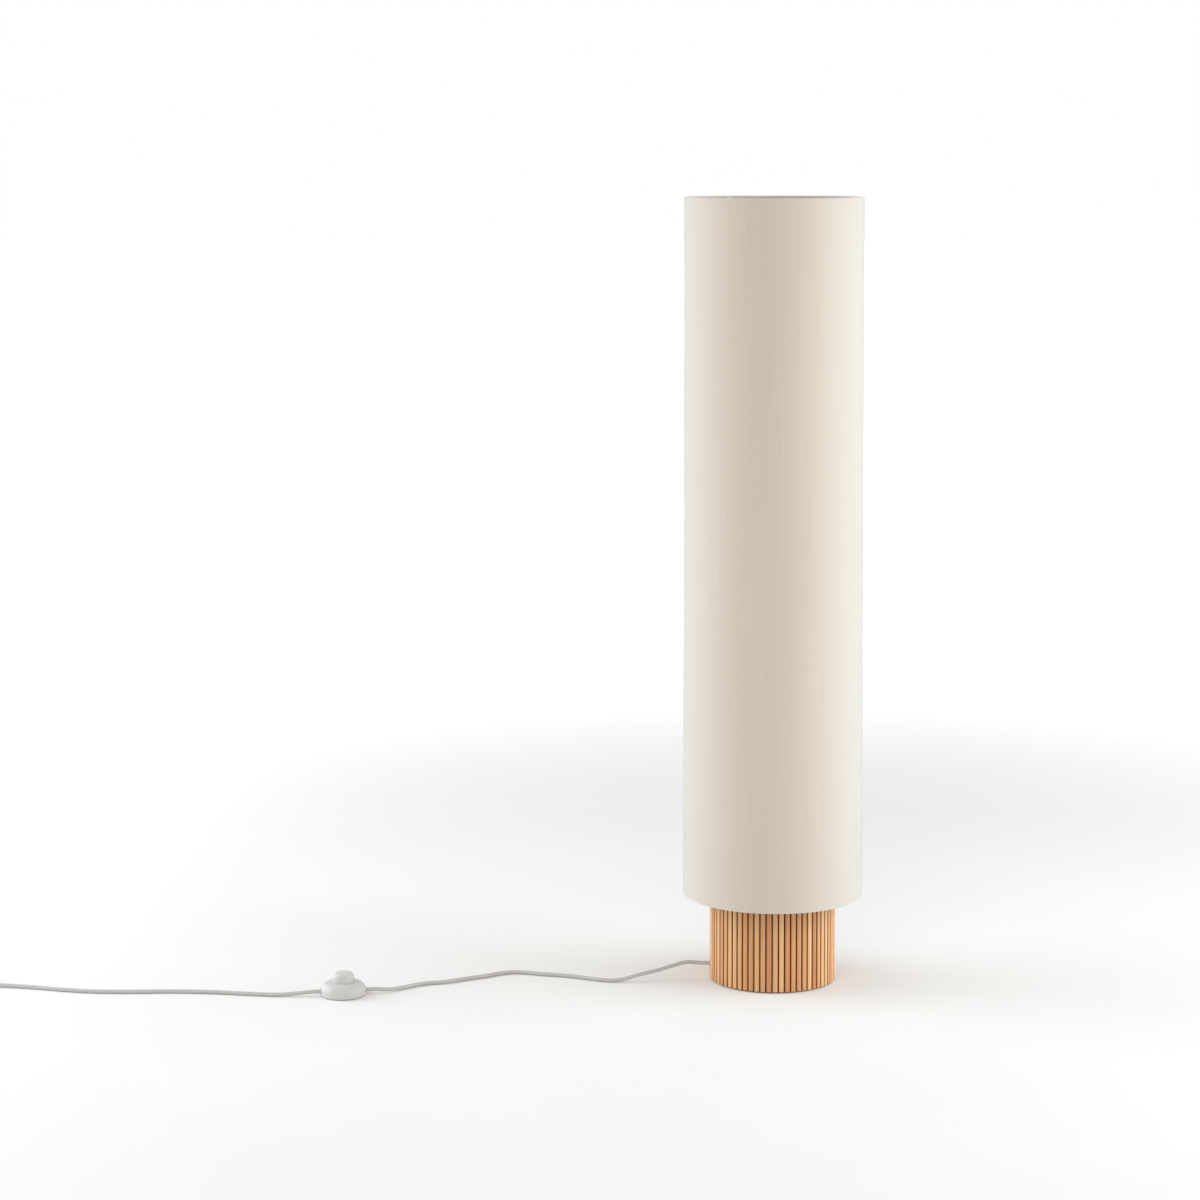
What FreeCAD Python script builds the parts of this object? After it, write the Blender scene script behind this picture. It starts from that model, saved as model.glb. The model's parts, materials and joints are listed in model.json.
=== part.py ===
import FreeCAD, Part
import math
import os
import re

import Sketcher
from FreeCAD import Placement, Rotation, Vector

# A column floor lamp: a tall drum shade over a round base of upright wooden battens, with a cord,
# a foot switch and a plug. Millimetres, degrees and counts. The origin is on the floor on the
# lamp's axis, +Z is up, the front is -Y, and the cord leaves the base towards -X.
SIZES = (
    # Shade
    ("total_height", 1225, "floor to the shade's top edge"),
    ("shade_diameter", 280, "outside of the fabric"),
    ("shade_overlap", 16, "base's top down to the shade's lower edge, which hangs round the base"),
    ("fabric_thickness", 0.8, "fabric of the shade"),
    ("liner_thickness", 0.5, "stiff liner that the fabric is bonded to"),
    ("ring_wire", 4, "diameter of the wire of the two shade rings"),
    ("spider_wire", 4, "diameter of the spider arms"),
    ("spider_arms", 3, "arms of each spider"),
    ("snip_clearance", 0.5, "fabric cut clear round each arm"),
    ("hub_diameter", 32, "washer in the middle of each spider"),
    ("hub_thickness", 2.5, "the same washer"),
    # Base
    ("base_diameter", 195.8, "over the battens"),
    ("base_height", 150, "floor to the top of the base, which is inside the shade"),
    ("batten_count", 64, "battens round the base"),
    ("batten_width", 8.2, "one batten, across"),
    ("batten_thickness", 8.1, "one batten, from the drum outwards"),
    ("batten_round", 2.2, "rounding of a batten's two front corners"),
    ("drum_wall", 12, "turned drum behind the battens"),
    ("top_plate_thickness", 12, "wooden lid of the base"),
    ("bottom_plate_thickness", 3, "steel plate under the base"),
    ("plate_margin", 3.8, "drum left outside the bottom plate"),
    ("felt_thickness", 2, "felt disc that the lamp stands on"),
    ("felt_margin", 2, "plate left outside the felt"),
    ("ballast_diameter", 148, "iron weight in the base"),
    ("ballast_thickness", 21.5, "the same weight"),
    ("boss_diameter", 28, "boss of the weight that holds the pole"),
    ("boss_height", 15, "the same boss"),
    ("base_screw_diameter", 4, "wood screws of the lid and the bottom plate"),
    ("base_screw_head", 8, "countersunk head of the same screws"),
    ("bottom_screw_length", 20, "screws of the bottom plate"),
    ("top_screw_length", 36, "screws of the lid"),
    ("bolt_diameter", 6, "bolts that hold the weight"),
    ("bolt_head", 12, "countersunk head of the same bolts"),
    ("bolt_length", 15, "the same bolts"),
    # Pole
    ("pole_diameter", 16, "steel tube"),
    ("pole_wall", 1.5, "steel tube"),
    ("wire_hole", 7, "holes in the pole for the wires"),
    ("wire_hole_height", 62, "floor to the lowest of these holes"),
    ("sleeve_diameter", 24, "sleeve on the pole between the base and the lower spider"),
    ("sleeve_height", 45, "the same sleeve"),
    ("finial_diameter", 18, "nut that holds the shade down"),
    ("finial_height", 10, "the same nut"),
    ("finial_roof", 2, "closed top of the same nut"),
    ("finial_drop", 14, "shade's top edge down to the nut's top"),
    ("stud_diameter", 8, "threaded stud in the pole's top"),
    ("stud_plug", 15, "part of the stud inside the pole"),
    ("slip_clearance", 0.2, "between the pole or stud and a hub"),
    ("set_screw_diameter", 4, "screws that hold the sleeve and the brackets"),
    # Lampholders and bulbs
    ("lower_holder_height", 380, "floor to the lower bracket"),
    ("upper_holder_height", 860, "floor to the upper bracket"),
    ("holder_offset", 48, "pole's axis to a bulb's axis"),
    ("bracket_width", 20, "arm of a bracket"),
    ("bracket_thickness", 3, "the same arm"),
    ("clip_wall", 3.5, "ring of a bracket round the pole"),
    ("clip_height", 14, "the same ring"),
    ("nipple_diameter", 10, "threaded tube under a lampholder"),
    ("nipple_bore", 7, "the same tube"),
    ("nipple_drop", 6, "the same tube, below the bracket"),
    ("nipple_grip", 8, "the same tube, inside the lampholder"),
    ("nut_width", 14, "nut under a bracket, across its flats"),
    ("nut_thickness", 4, "the same nut"),
    ("holder_diameter", 40, "skirt of a lampholder"),
    ("holder_foot_diameter", 30, "foot of a lampholder"),
    ("holder_taper", 12, "height over which the foot widens into the skirt"),
    ("holder_length", 54, "the whole lampholder"),
    ("holder_chamber", 16, "wiring space in its foot"),
    ("socket_floor", 24, "foot to the contact at the bottom of the socket"),
    ("cap_diameter", 26.4, "screw cap of a bulb"),
    ("cap_length", 25, "contact to the top of the cap"),
    ("cap_skirt", 5, "contact to the metal shell of the cap"),
    ("cap_contact_diameter", 8, "centre contact of a bulb"),
    ("cap_contact_height", 2, "the same contact"),
    ("socket_clearance", 0.3, "round the cap"),
    ("bulb_diameter", 60, "widest part of a bulb"),
    ("bulb_length", 108, "contact to the top of a bulb"),
    ("neck_diameter", 25.8, "neck of a bulb"),
    ("neck_length", 13, "straight part of the neck"),
    ("glass_thickness", 0.8, "wall of a bulb"),
    ("lead_wire", 2.2, "one insulated wire inside the pole"),
    ("lead_spread", 1.3, "each of a pair of wires, from their middle"),
    # Cord entry and terminals
    ("cord_diameter", 6, "mains cord"),
    ("cord_height", 23.5, "floor to the cord where it leaves the base"),
    ("entry_turn", 2.385, "turn of the groove that the cord leaves by, from -X towards the front"),
    ("cord_clearance", 0.2, "under the cord on the floor and in the weight's channel"),
    ("grommet_diameter", 10.4, "bush in the drum wall"),
    ("grommet_proud", 1, "bush outside the battens"),
    ("grommet_lip_diameter", 16, "lip of the bush inside the drum"),
    ("grommet_lip", 2, "the same lip"),
    ("channel_width", 7, "channel in the weight for the cord"),
    ("block_distance", 28, "lamp's axis to the near side of the terminal block"),
    ("block_length", 12, "terminal block, along the cord"),
    ("block_width", 22, "terminal block, across the cord"),
    ("block_height", 13, "terminal block"),
    ("clamp_distance", 61, "lamp's axis to the cord clamp"),
    ("clamp_width", 10, "cord clamp, along the cord"),
    ("clamp_span", 28, "cord clamp, across the cord"),
    ("clamp_thickness", 3, "cord clamp"),
    # Foot switch
    ("switch_away", 665, "lamp's axis to the switch's centre, to the left"),
    ("switch_ahead", 103.5, "lamp's axis to the switch's centre, to the front"),
    ("switch_turn", 10, "turn of the switch's cord line"),
    ("switch_diameter", 69, "round housing"),
    ("switch_height", 21, "floor to the housing's flat top"),
    ("switch_parting", 7.2, "floor to the joint of its two shells and to the cord's centre"),
    ("switch_wall", 2.2, "both shells"),
    ("switch_round", 12, "rounding of the upper shell"),
    ("switch_chamfer", 1.2, "lower edge of the lower shell"),
    ("switch_feet_height", 1, "rubber feet"),
    ("switch_feet_diameter", 9, "rubber feet"),
    ("button_diameter", 34, "push button"),
    ("button_top", 37.5, "floor to the top of the button"),
    ("button_crown", 45, "radius of the button's crown"),
    ("button_round", 5, "rounding of the button's edge"),
    ("button_wall", 3, "button"),
    ("button_gap", 0.3, "round the button and over its flange"),
    ("button_travel", 3, "how far the button goes down"),
    ("flange_width", 2, "flange that keeps the button in"),
    ("flange_thickness", 1.8, "the same flange"),
    ("stem_diameter", 6, "stem under the button"),
    ("stem_entry", 1.5, "stem inside the contact block at rest"),
    ("contact_block_length", 26, "contact block, along the cord"),
    ("contact_block_width", 22, "contact block, across the cord"),
    ("contact_block_height", 8, "contact block"),
    ("spring_diameter", 11, "outside of the return spring"),
    ("spring_wire", 1.2, "the same spring"),
    ("post_circle", 26, "screw posts, from the switch's axis"),
    ("post_diameter", 6, "screw posts"),
    ("saddle_distance", 26, "cord saddles, from the switch's axis"),
    ("saddle_length", 6, "cord saddle, along the cord"),
    ("saddle_width", 16, "cord saddle, across the cord"),
    ("bush_diameter", 9, "bushes where the cord enters the housing"),
    ("bush_proud", 1, "bush outside the housing"),
    # Coil, tie and plug
    ("coil_away", 1272, "lamp's axis to the coil's centre, to the left"),
    ("coil_ahead", 20, "lamp's axis to the coil's centre, to the front"),
    ("coil_diameter", 66, "middle of the turns"),
    ("coil_gap", 0.6, "between neighbouring turns and between the two layers"),
    ("coil_lift", 1.3, "under the coil, where its tie passes"),
    ("tie_thickness", 0.9, "band that holds the coil"),
    ("tie_width", 9, "the same band"),
    ("tie_clearance", 0.35, "between the band and the cord"),
    ("tie_turn", 60, "where on the coil the band is"),
    ("plug_behind", 48, "lamp's axis to the cord's end in the plug's sleeve, to the back"),
    ("plug_width", 26, "flat two-pin plug"),
    ("plug_thickness", 13.6, "the same plug"),
    ("plug_length", 36, "the same plug, without its pins"),
    ("plug_corner", 5, "rounding along the same plug"),
    ("plug_neck", 9, "the same plug where its sleeve begins"),
    ("plug_shoulder", 12, "length over which the plug widens"),
    ("relief_length", 28, "tapered sleeve on the cord at the plug"),
    ("relief_tip", 7.6, "thin end of the same sleeve"),
    ("relief_ribs", 5, "grooves round the same sleeve"),
    ("pin_diameter", 4, "plug pins"),
    ("pin_length", 19, "plug pins"),
    ("pin_spacing", 19, "plug pins, centre to centre"),
)

# Sizes and places that follow from the ones above.
WORKED = (
    ("shade_radius", "shade_diameter / 2"),
    ("shade_foot", "base_height - shade_overlap"),
    ("fabric_inner", "shade_radius - fabric_thickness"),
    ("liner_inner", "fabric_inner - liner_thickness"),
    ("ring_half", "ring_wire / 2"),
    ("ring_radius", "fabric_inner - ring_half"),
    ("hem_half", "ring_half + fabric_thickness"),
    ("top_ring_height", "total_height - hem_half"),
    ("bottom_ring_height", "shade_foot + hem_half"),
    ("hub_radius", "hub_diameter / 2"),
    ("spider_half", "spider_wire / 2"),
    ("arm_start", "hub_radius - spider_wire"),
    ("base_radius", "base_diameter / 2"),
    ("drum_radius", "base_radius - batten_thickness"),
    ("drum_inner", "drum_radius - drum_wall"),
    ("drum_top", "base_height - top_plate_thickness"),
    ("batten_half", "batten_width / 2"),
    ("batten_phase", "180 / batten_count + entry_turn"),
    ("plate_top", "felt_thickness + bottom_plate_thickness"),
    ("plate_radius", "drum_radius - plate_margin"),
    ("felt_radius", "plate_radius - felt_margin"),
    ("base_screw_radius", "base_screw_diameter / 2"),
    ("base_screw_head_radius", "base_screw_head / 2"),
    ("base_screw_head_depth", "base_screw_head * 0.3"),
    ("bolt_radius", "bolt_diameter / 2"),
    ("bolt_head_radius", "bolt_head / 2"),
    ("bolt_head_depth", "bolt_head * 7 / 30"),
    ("bottom_screw_circle", "(plate_radius + drum_inner) / 2"),
    ("top_screw_circle", "(drum_radius + drum_inner) / 2"),
    ("ballast_radius", "ballast_diameter / 2"),
    ("ballast_bolt_circle", "ballast_radius * 0.65"),
    ("ballast_top", "plate_top + ballast_thickness"),
    ("boss_radius", "boss_diameter / 2"),
    ("boss_top", "ballast_top + boss_height"),
    ("cord_radius", "cord_diameter / 2"),
    ("entry_shift", "base_radius * sin(entry_turn)"),
    ("channel_floor", "cord_height - cord_radius - cord_clearance"),
    ("grommet_radius", "grommet_diameter / 2"),
    ("grommet_face", "base_radius + grommet_proud"),
    ("grommet_lip_radius", "grommet_lip_diameter / 2"),
    ("grommet_seat", "sqrt(drum_inner ^ 2 - (grommet_lip_radius + entry_shift) ^ 2)"),
    ("block_far", "block_distance + block_length"),
    ("block_foot", "channel_floor"),
    ("pole_radius", "pole_diameter / 2"),
    ("pole_bore", "pole_radius - pole_wall"),
    ("finial_radius", "finial_diameter / 2"),
    ("finial_top", "total_height - finial_drop"),
    ("hub_top", "finial_top - finial_height"),
    ("pole_top", "hub_top - hub_thickness"),
    ("stud_radius", "stud_diameter / 2"),
    ("sleeve_radius", "sleeve_diameter / 2"),
    ("sleeve_top", "base_height + sleeve_height"),
    ("clip_radius", "pole_radius + clip_wall"),
    ("nipple_radius", "nipple_diameter / 2"),
    ("holder_radius", "holder_diameter / 2"),
    ("holder_foot_radius", "holder_foot_diameter / 2"),
    ("cap_radius", "cap_diameter / 2"),
    ("cap_contact_radius", "cap_contact_diameter / 2"),
    ("cap_insulator_radius", "(cap_radius + cap_contact_radius) / 2"),
    ("socket_radius", "cap_radius + socket_clearance"),
    ("bulb_radius", "bulb_diameter / 2"),
    ("bulb_centre", "socket_floor + bulb_length - bulb_radius"),
    ("glass_foot", "socket_floor + cap_length"),
    ("neck_radius", "neck_diameter / 2"),
    ("neck_top", "glass_foot + neck_length"),
    ("shoulder_radius", "bulb_radius * cos(30)"),
    ("shoulder_height", "bulb_centre - bulb_radius * sin(30)"),
    ("switch_radius", "switch_diameter / 2"),
    ("switch_inner", "switch_radius - switch_wall"),
    ("switch_floor", "switch_feet_height + switch_wall"),
    ("switch_roof", "switch_height - switch_wall"),
    ("shoulder_foot", "switch_height - switch_round"),
    ("inner_round", "switch_round - switch_wall"),
    ("button_radius", "button_diameter / 2"),
    ("button_hole", "button_radius + button_gap"),
    ("button_inner", "button_radius - button_wall"),
    ("crown_centre", "button_top - button_crown"),
    ("crown_drop", "sqrt((button_crown - button_round) ^ 2 - (button_radius - button_round) ^ 2)"),
    ("button_edge", "crown_centre + crown_drop"),
    ("crown_end", "(button_radius - button_round) * button_crown / (button_crown - button_round)"),
    ("crown_end_height", "crown_centre + crown_drop * button_crown / (button_crown - button_round)"),
    ("button_roof", "button_edge - button_wall"),
    ("flange_radius", "button_radius + flange_width"),
    ("flange_top", "switch_roof - button_gap"),
    ("flange_foot", "flange_top - flange_thickness"),
    ("stem_radius", "stem_diameter / 2"),
    ("stem_hole", "stem_radius + button_gap"),
    ("contact_block_top", "switch_floor + contact_block_height"),
    ("stem_foot", "contact_block_top - stem_entry"),
    ("stem_hole_floor", "stem_foot - button_travel - 1"),
    ("bush_face", "switch_radius + bush_proud"),
    ("saddle_top", "switch_parting - cord_radius"),
    ("clamp_foot", "switch_parting + cord_radius"),
    ("pin_radius", "pin_diameter / 2"),
    ("relief_tip_radius", "relief_tip / 2"),
    ("plug_neck_radius", "plug_neck / 2"),
    ("neck_flat", "plug_neck * 0.1"),
    ("neck_corner", "plug_neck_radius - neck_flat"),
    ("plug_half_width", "plug_width / 2"),
    ("plug_half_thickness", "plug_thickness / 2"),
    ("plug_flat_width", "plug_half_width - plug_corner"),
    ("plug_flat_height", "plug_half_thickness - plug_corner"),
)

# Routes of the free cord over the floor. The tube rounds each point, and the ends are added from
# the pieces that they meet.
ROUTE_TO_SWITCH = (
    (-135.0, -5.8, 26.0),
    (-158.0, -11.2, 20.6),
    (-184.0, -18.5, 14.2),
    (-211.0, -27.0, 10.8),
    (-239.0, -32.5, 3.2),
    (-268.0, -31.0, 3.2),
    (-298.0, -13.5, 3.2),
    (-334.0, 0.0, 3.2),
    (-366.0, 6.0, 3.2),
    (-394.0, 18.0, 3.2),
    (-421.0, 15.0, 3.2),
    (-448.0, -5.0, 3.2),
    (-478.0, -20.0, 3.2),
    (-512.0, -42.0, 3.2),
    (-547.0, -49.0, 3.2),
    (-577.0, -75.0, 3.2),
    (-597.0, -90.0, 4.6),
)
ROUTE_TO_COIL = (
    (-739.0, -114.0, 4.9),
    (-764.0, -114.5, 3.2),
    (-800.0, -110.0, 3.2),
    (-846.0, -101.0, 3.2),
    (-895.0, -95.0, 3.2),
    (-945.0, -94.0, 3.2),
    (-996.0, -97.0, 3.2),
    (-1046.0, -96.0, 3.2),
    (-1094.0, -87.0, 3.2),
    (-1142.0, -72.0, 3.2),
    (-1188.0, -62.0, 3.6),
)
ROUTE_TO_PLUG = (
    (-1313.0, 13.0, 9.2),
    (-1313.8, 29.0, 7.3),
)

SEGMENTS_PER_TURN = 4
COIL_LAYER_TURNS = 2.125
SHARE_OF_RUN = 0.45

doc = FreeCAD.newDocument("ColumnFloorLamp")
sheet = doc.addObject("Spreadsheet::Sheet", "Sizes")
for row, (alias, amount, note) in enumerate(SIZES, start=1):
    sheet.set(f"A{row}", note)
    sheet.set(f"B{row}", str(amount))
    sheet.setAlias(f"B{row}", alias)
for row, (alias, text) in enumerate(WORKED, start=len(SIZES) + 2):
    sheet.set(f"B{row}", "=" + text)
    sheet.setAlias(f"B{row}", alias)
doc.recompute()

ALIASES = {entry[0] for entry in SIZES + WORKED}
nodes = []


# ---- Sizes, places and features ----


def size(alias):
    """The number in the sheet under an alias."""
    found = getattr(sheet, alias)
    return getattr(found, "Value", found)


def total(text):
    """The value of a sum such as 'drum_radius - drum_wall + 2'."""
    amount = 0.0
    for sign, word in re.findall(r"([+-]?)\s*([a-z_]\w*|[\d.]+)", text):
        part = size(word) if word[0].isalpha() else float(word)
        amount += -part if sign == "-" else part
    return amount


def formula(text):
    """An expression whose aliases are looked up in the sheet."""
    return re.sub(r"[a-z_]\w*", lambda m: f"Sizes.{m[0]}" if m[0] in ALIASES else m[0], text)


def bind(item, **formulas):
    """Tie the named properties of an object to the sheet."""
    for name, text in formulas.items():
        item.setExpression(name, formula(text))
    return item


def place(item, x="", y="", z="", turn=""):
    """Tie an object's place, and its turn about +Z, to the sheet."""
    for name, text in (("Base.x", x), ("Base.y", y), ("Base.z", z), ("Rotation.Angle", turn)):
        if text:
            item.setExpression("Placement." + name, formula(text))
    return item


def keep(item, label):
    """Make an object a sub-part of the lamp under its own name."""
    item.Label = label
    nodes.append(item)
    return item


def rod(label, radius, length, x="", y="", z="", along="z"):
    """Solid cylinder from a point along +X, +Y or +Z."""
    item = doc.addObject("Part::Cylinder", label)
    turns = {
        "x": Rotation(Vector(0, 1, 0), 90),
        "y": Rotation(Vector(1, 0, 0), -90),
        "z": Rotation(),
    }
    item.Placement = Placement(Vector(), turns[along])
    bind(item, Radius=radius, Height=length)
    return place(item, x, y, z)


def box(label, length, width, height, x="", y="", z=""):
    """Box from its lowest corner, with its sides along the axes."""
    item = doc.addObject("Part::Box", label)
    bind(item, Length=length, Width=width, Height=height)
    return place(item, x, y, z)


def cut(label, body, *tools):
    """A body less its tools."""
    item = doc.addObject("Part::Cut", label)
    item.Base = body
    item.Tool = tools[0] if len(tools) == 1 else together(label + "_tools", *tools)
    return item


def fuse(label, *pieces):
    """One solid of several that touch or overlap."""
    item = doc.addObject("Part::MultiFuse", label)
    item.Shapes = list(pieces)
    return item


def together(label, *pieces):
    """Separate solids that share a node."""
    item = doc.addObject("Part::Compound", label)
    item.Links = list(pieces)
    return item


def ring(label, outer, inner, length, x="", y="", z="", along="z"):
    """Straight tube."""
    wall = rod(label + "_wall", outer, length, x, y, z, along)
    hole = rod(label + "_hole", inner, length, x, y, z, along)
    return cut(label, wall, hole)


def plain(label, shape):
    """An object for a shape that no feature makes."""
    item = doc.addObject("Part::Feature", label)
    item.Shape = shape
    return item


def origin_item(body, role):
    """One of a body's own origin planes or axes."""
    return next(item for item in body.Origin.OriginFeatures if item.Role == role)


def arc(radius, across, up, turn):
    """Arc to the next corner: its radius, its centre, and +1 for anticlockwise or -1."""
    return radius, across, up, turn


def arc_geometry(start, end, radius, centre, turn):
    circle = Part.Circle(centre, Vector(0, 0, 1), radius)
    angles = [math.atan2(point.y - centre.y, point.x - centre.x) for point in (start, end)]
    first, last = angles if turn > 0 else angles[::-1]
    return Part.ArcOfCircle(circle, first, last if last > first else last + 2 * math.pi)


def pin_point(sketch, index, end, corner, name):
    """Tie one corner of a sketch to the sheet, or to the axis it lies on."""
    across, up = corner
    for kind, text, axis in (("DistanceX", across, -2), ("DistanceY", up, -1)):
        if text == "0":
            sketch.addConstraint(Sketcher.Constraint("PointOnObject", index, end, axis))
            continue
        number = sketch.addConstraint(Sketcher.Constraint(kind, -1, 1, index, end, total(text)))
        sketch.renameConstraint(number, f"{name}_{kind[-1]}")
        sketch.setExpression(f"Constraints.{name}_{kind[-1]}", formula(text))


def draw_loop(sketch, corners):
    """Closed loop of lines and arcs through corners, each (across, up) or (across, up, arc)."""
    points = [Vector(total(corner[0]), total(corner[1]), 0) for corner in corners]
    starts, ends = [], []
    for step, corner in enumerate(corners):
        start, end = points[step], points[(step + 1) % len(points)]
        if len(corner) == 2:
            sketch.addGeometry(Part.LineSegment(start, end))
            starts.append(1)
            ends.append(2)
        else:
            radius, across, up, turn = corner[2]
            centre = Vector(total(across), total(up), 0)
            sketch.addGeometry(arc_geometry(start, end, total(radius), centre, turn))
            starts.append(1 if turn > 0 else 2)
            ends.append(2 if turn > 0 else 1)
    for step in range(len(corners)):
        after = (step + 1) % len(corners)
        meet = Sketcher.Constraint("Coincident", step, ends[step], after, starts[after])
        sketch.addConstraint(meet)
    for step, corner in enumerate(corners):
        pin_point(sketch, step, starts[step], corner[:2], f"corner{step}")
        if len(corner) == 3:
            number = sketch.addConstraint(Sketcher.Constraint("Radius", step, total(corner[2][0])))
            sketch.renameConstraint(number, f"corner{step}_R")
            sketch.setExpression(f"Constraints.corner{step}_R", formula(corner[2][0]))


def sketch_on(body, label, role):
    sketch = body.newObject("Sketcher::SketchObject", label)
    sketch.AttachmentSupport = [(origin_item(body, role), "")]
    sketch.MapMode = "FlatFace"
    return sketch


def turned(label, corners):
    """Solid of revolution about +Z, from its outline as (radius, height) corners."""
    body = doc.addObject("PartDesign::Body", label)
    outline = sketch_on(body, label + "_outline", "XZ_Plane")
    draw_loop(outline, corners)
    turn = body.newObject("PartDesign::Revolution", label + "_turn")
    turn.Profile = outline
    turn.ReferenceAxis = (outline, ["V_Axis"])
    turn.Angle = 360
    return body


def raised(label, corners, height):
    """Outline drawn on the floor plane and raised."""
    body = doc.addObject("PartDesign::Body", label)
    outline = sketch_on(body, label + "_outline", "XY_Plane")
    draw_loop(outline, corners)
    pad = body.newObject("PartDesign::Pad", label + "_pad")
    pad.Profile = outline
    bind(pad, Length=height)
    return body


def around(body, feature, count):
    """Repeat a body's feature evenly about +Z."""
    pattern = body.newObject("PartDesign::PolarPattern", body.Name + "_pattern")
    pattern.Originals = [feature]
    pattern.Axis = (origin_item(body, "Z_Axis"), [""])
    pattern.Angle = 360
    bind(pattern, Occurrences=count)
    body.Tip = pattern
    return body


def screws(label, circle, head_radius, head_depth, shank_radius, length, count):
    """Countersunk screws on a circle, heads at height 0 and points up."""
    body = doc.addObject("PartDesign::Body", label)
    outline = sketch_on(body, label + "_outline", "XZ_Plane")
    outline.setExpression("AttachmentOffset.Base.x", formula(circle))
    corners = (
        ("0", "0"),
        (head_radius, "0"),
        (shank_radius, head_depth),
        (shank_radius, length),
        ("0", length),
    )
    draw_loop(outline, corners)
    turn = body.newObject("PartDesign::Revolution", label + "_turn")
    turn.Profile = outline
    turn.ReferenceAxis = (outline, ["V_Axis"])
    turn.Angle = 360
    return around(body, turn, count)


def heads_up(item, z):
    """Turn a set of screws over so that the heads are at a height and the points below."""
    item.Placement = Placement(Vector(), Rotation(Vector(1, 0, 0), 180))
    return place(item, z=z)


# ---- Tubes along routes ----


def unit(vector):
    return vector * (1 / vector.Length)


def bends(points):
    """Straight runs and tangent arcs along a route, and the arcs' radii."""
    edges, radii = [], []
    start = points[0]
    for before, corner, after in zip(points, points[1:], points[2:]):
        into, away = corner - before, after - corner
        reach = SHARE_OF_RUN * min(into.Length, away.Length)
        half_turn = into.getAngle(away) / 2
        leave, join = corner - unit(into) * reach, corner + unit(away) * reach
        weight = math.cos(half_turn)
        middle = (leave + corner * (2 * weight) + join) * (1 / (2 + 2 * weight))
        edges += [Part.LineSegment(start, leave), Part.Arc(leave, middle, join)]
        radii.append(reach / math.tan(half_turn))
        start = join
    edges.append(Part.LineSegment(start, points[-1]))
    return edges, radii


def tube(edges, diameter, heading):
    """Round tube along edges, square to the heading at its start."""
    path = Part.Wire([edge.toShape() for edge in edges])
    start = path.OrderedVertexes[0].Point
    section = Part.Wire(Part.makeCircle(diameter / 2, start, heading))
    solid = path.makePipeShell([section], True, False)
    expected = math.pi / 4 * diameter**2 * path.Length
    if abs(solid.Volume - expected) > 0.02 * expected:
        raise ValueError(f"a tube holds {solid.Volume:.0f} mm3, not {expected:.0f}")
    return solid, path.Length


def cord_along(label, points):
    """Free stretch of cord along a route. It prints the stretch's length and tightest bend."""
    edges, radii = bends(points)
    solid, length = tube(edges, size("cord_diameter"), points[1] - points[0])
    print(f"{label}: {length:.0f} mm, radii " + " ".join(f"{radius:.0f}" for radius in radii))
    return plain(label, solid), length


def wire_along(points):
    """One insulated wire."""
    return tube(bends(points)[0], size("lead_wire"), points[1] - points[0])[0]


def biarc(start, heading, end, arrival):
    """Two arcs that leave and arrive along the given directions, and the point between them."""
    span = end - start
    both = heading + arrival
    slack = 2 * (1 - heading.dot(arrival))
    reach = (math.sqrt(span.dot(both) ** 2 + slack * span.dot(span)) - span.dot(both)) / slack
    knee, elbow = start + heading * reach, end - arrival * reach
    middle = (knee + elbow) * 0.5
    arcs = []
    for first, corner, last in ((start, knee, middle), (middle, elbow, end)):
        weight = (last - first).Length / (2 * reach)
        top = (first + corner * (2 * weight) + last) * (1 / (2 + 2 * weight))
        arcs.append(Part.Arc(first, top, last))
    return arcs


def coil_point(turns):
    """Centre of the cord after some turns: in along one layer, up, and out along the next."""
    pitch = size("cord_diameter") + size("coil_gap")
    inner = size("coil_diameter") / 2 - pitch * COIL_LAYER_TURNS / 2
    radius = inner + pitch * abs(turns - COIL_LAYER_TURNS)
    climb = min(max((turns - COIL_LAYER_TURNS) * 2 + 0.5, 0.0), 1.0)
    height = size("cord_radius") + size("coil_lift") + pitch * climb * climb * (3 - 2 * climb)
    angle = math.radians(-90 - 360 * turns)
    centre = Vector(-size("coil_away"), -size("coil_ahead"), 0)
    return centre + Vector(radius * math.cos(angle), radius * math.sin(angle), height)


def coil_heading(turns):
    small = 0.001
    if turns <= 0:
        return Vector(-1, 0, 0)
    if turns >= 2 * COIL_LAYER_TURNS:
        return Vector(0, 1, 0)
    return unit(coil_point(turns + small) - coil_point(turns - small))


def least_gap(edges, diameter):
    """Least free distance between turns of a tube, from points along its centreline."""
    path = Part.Wire([edge.toShape() for edge in edges])
    spacing = diameter / 4
    points = path.discretize(int(path.Length / spacing))
    apart = int(2.5 * diameter / spacing)
    closest = min(
        (points[early] - points[late]).Length
        for early in range(len(points))
        for late in range(early + apart, len(points))
    )
    return closest - diameter


# ---- Shade ----


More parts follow.
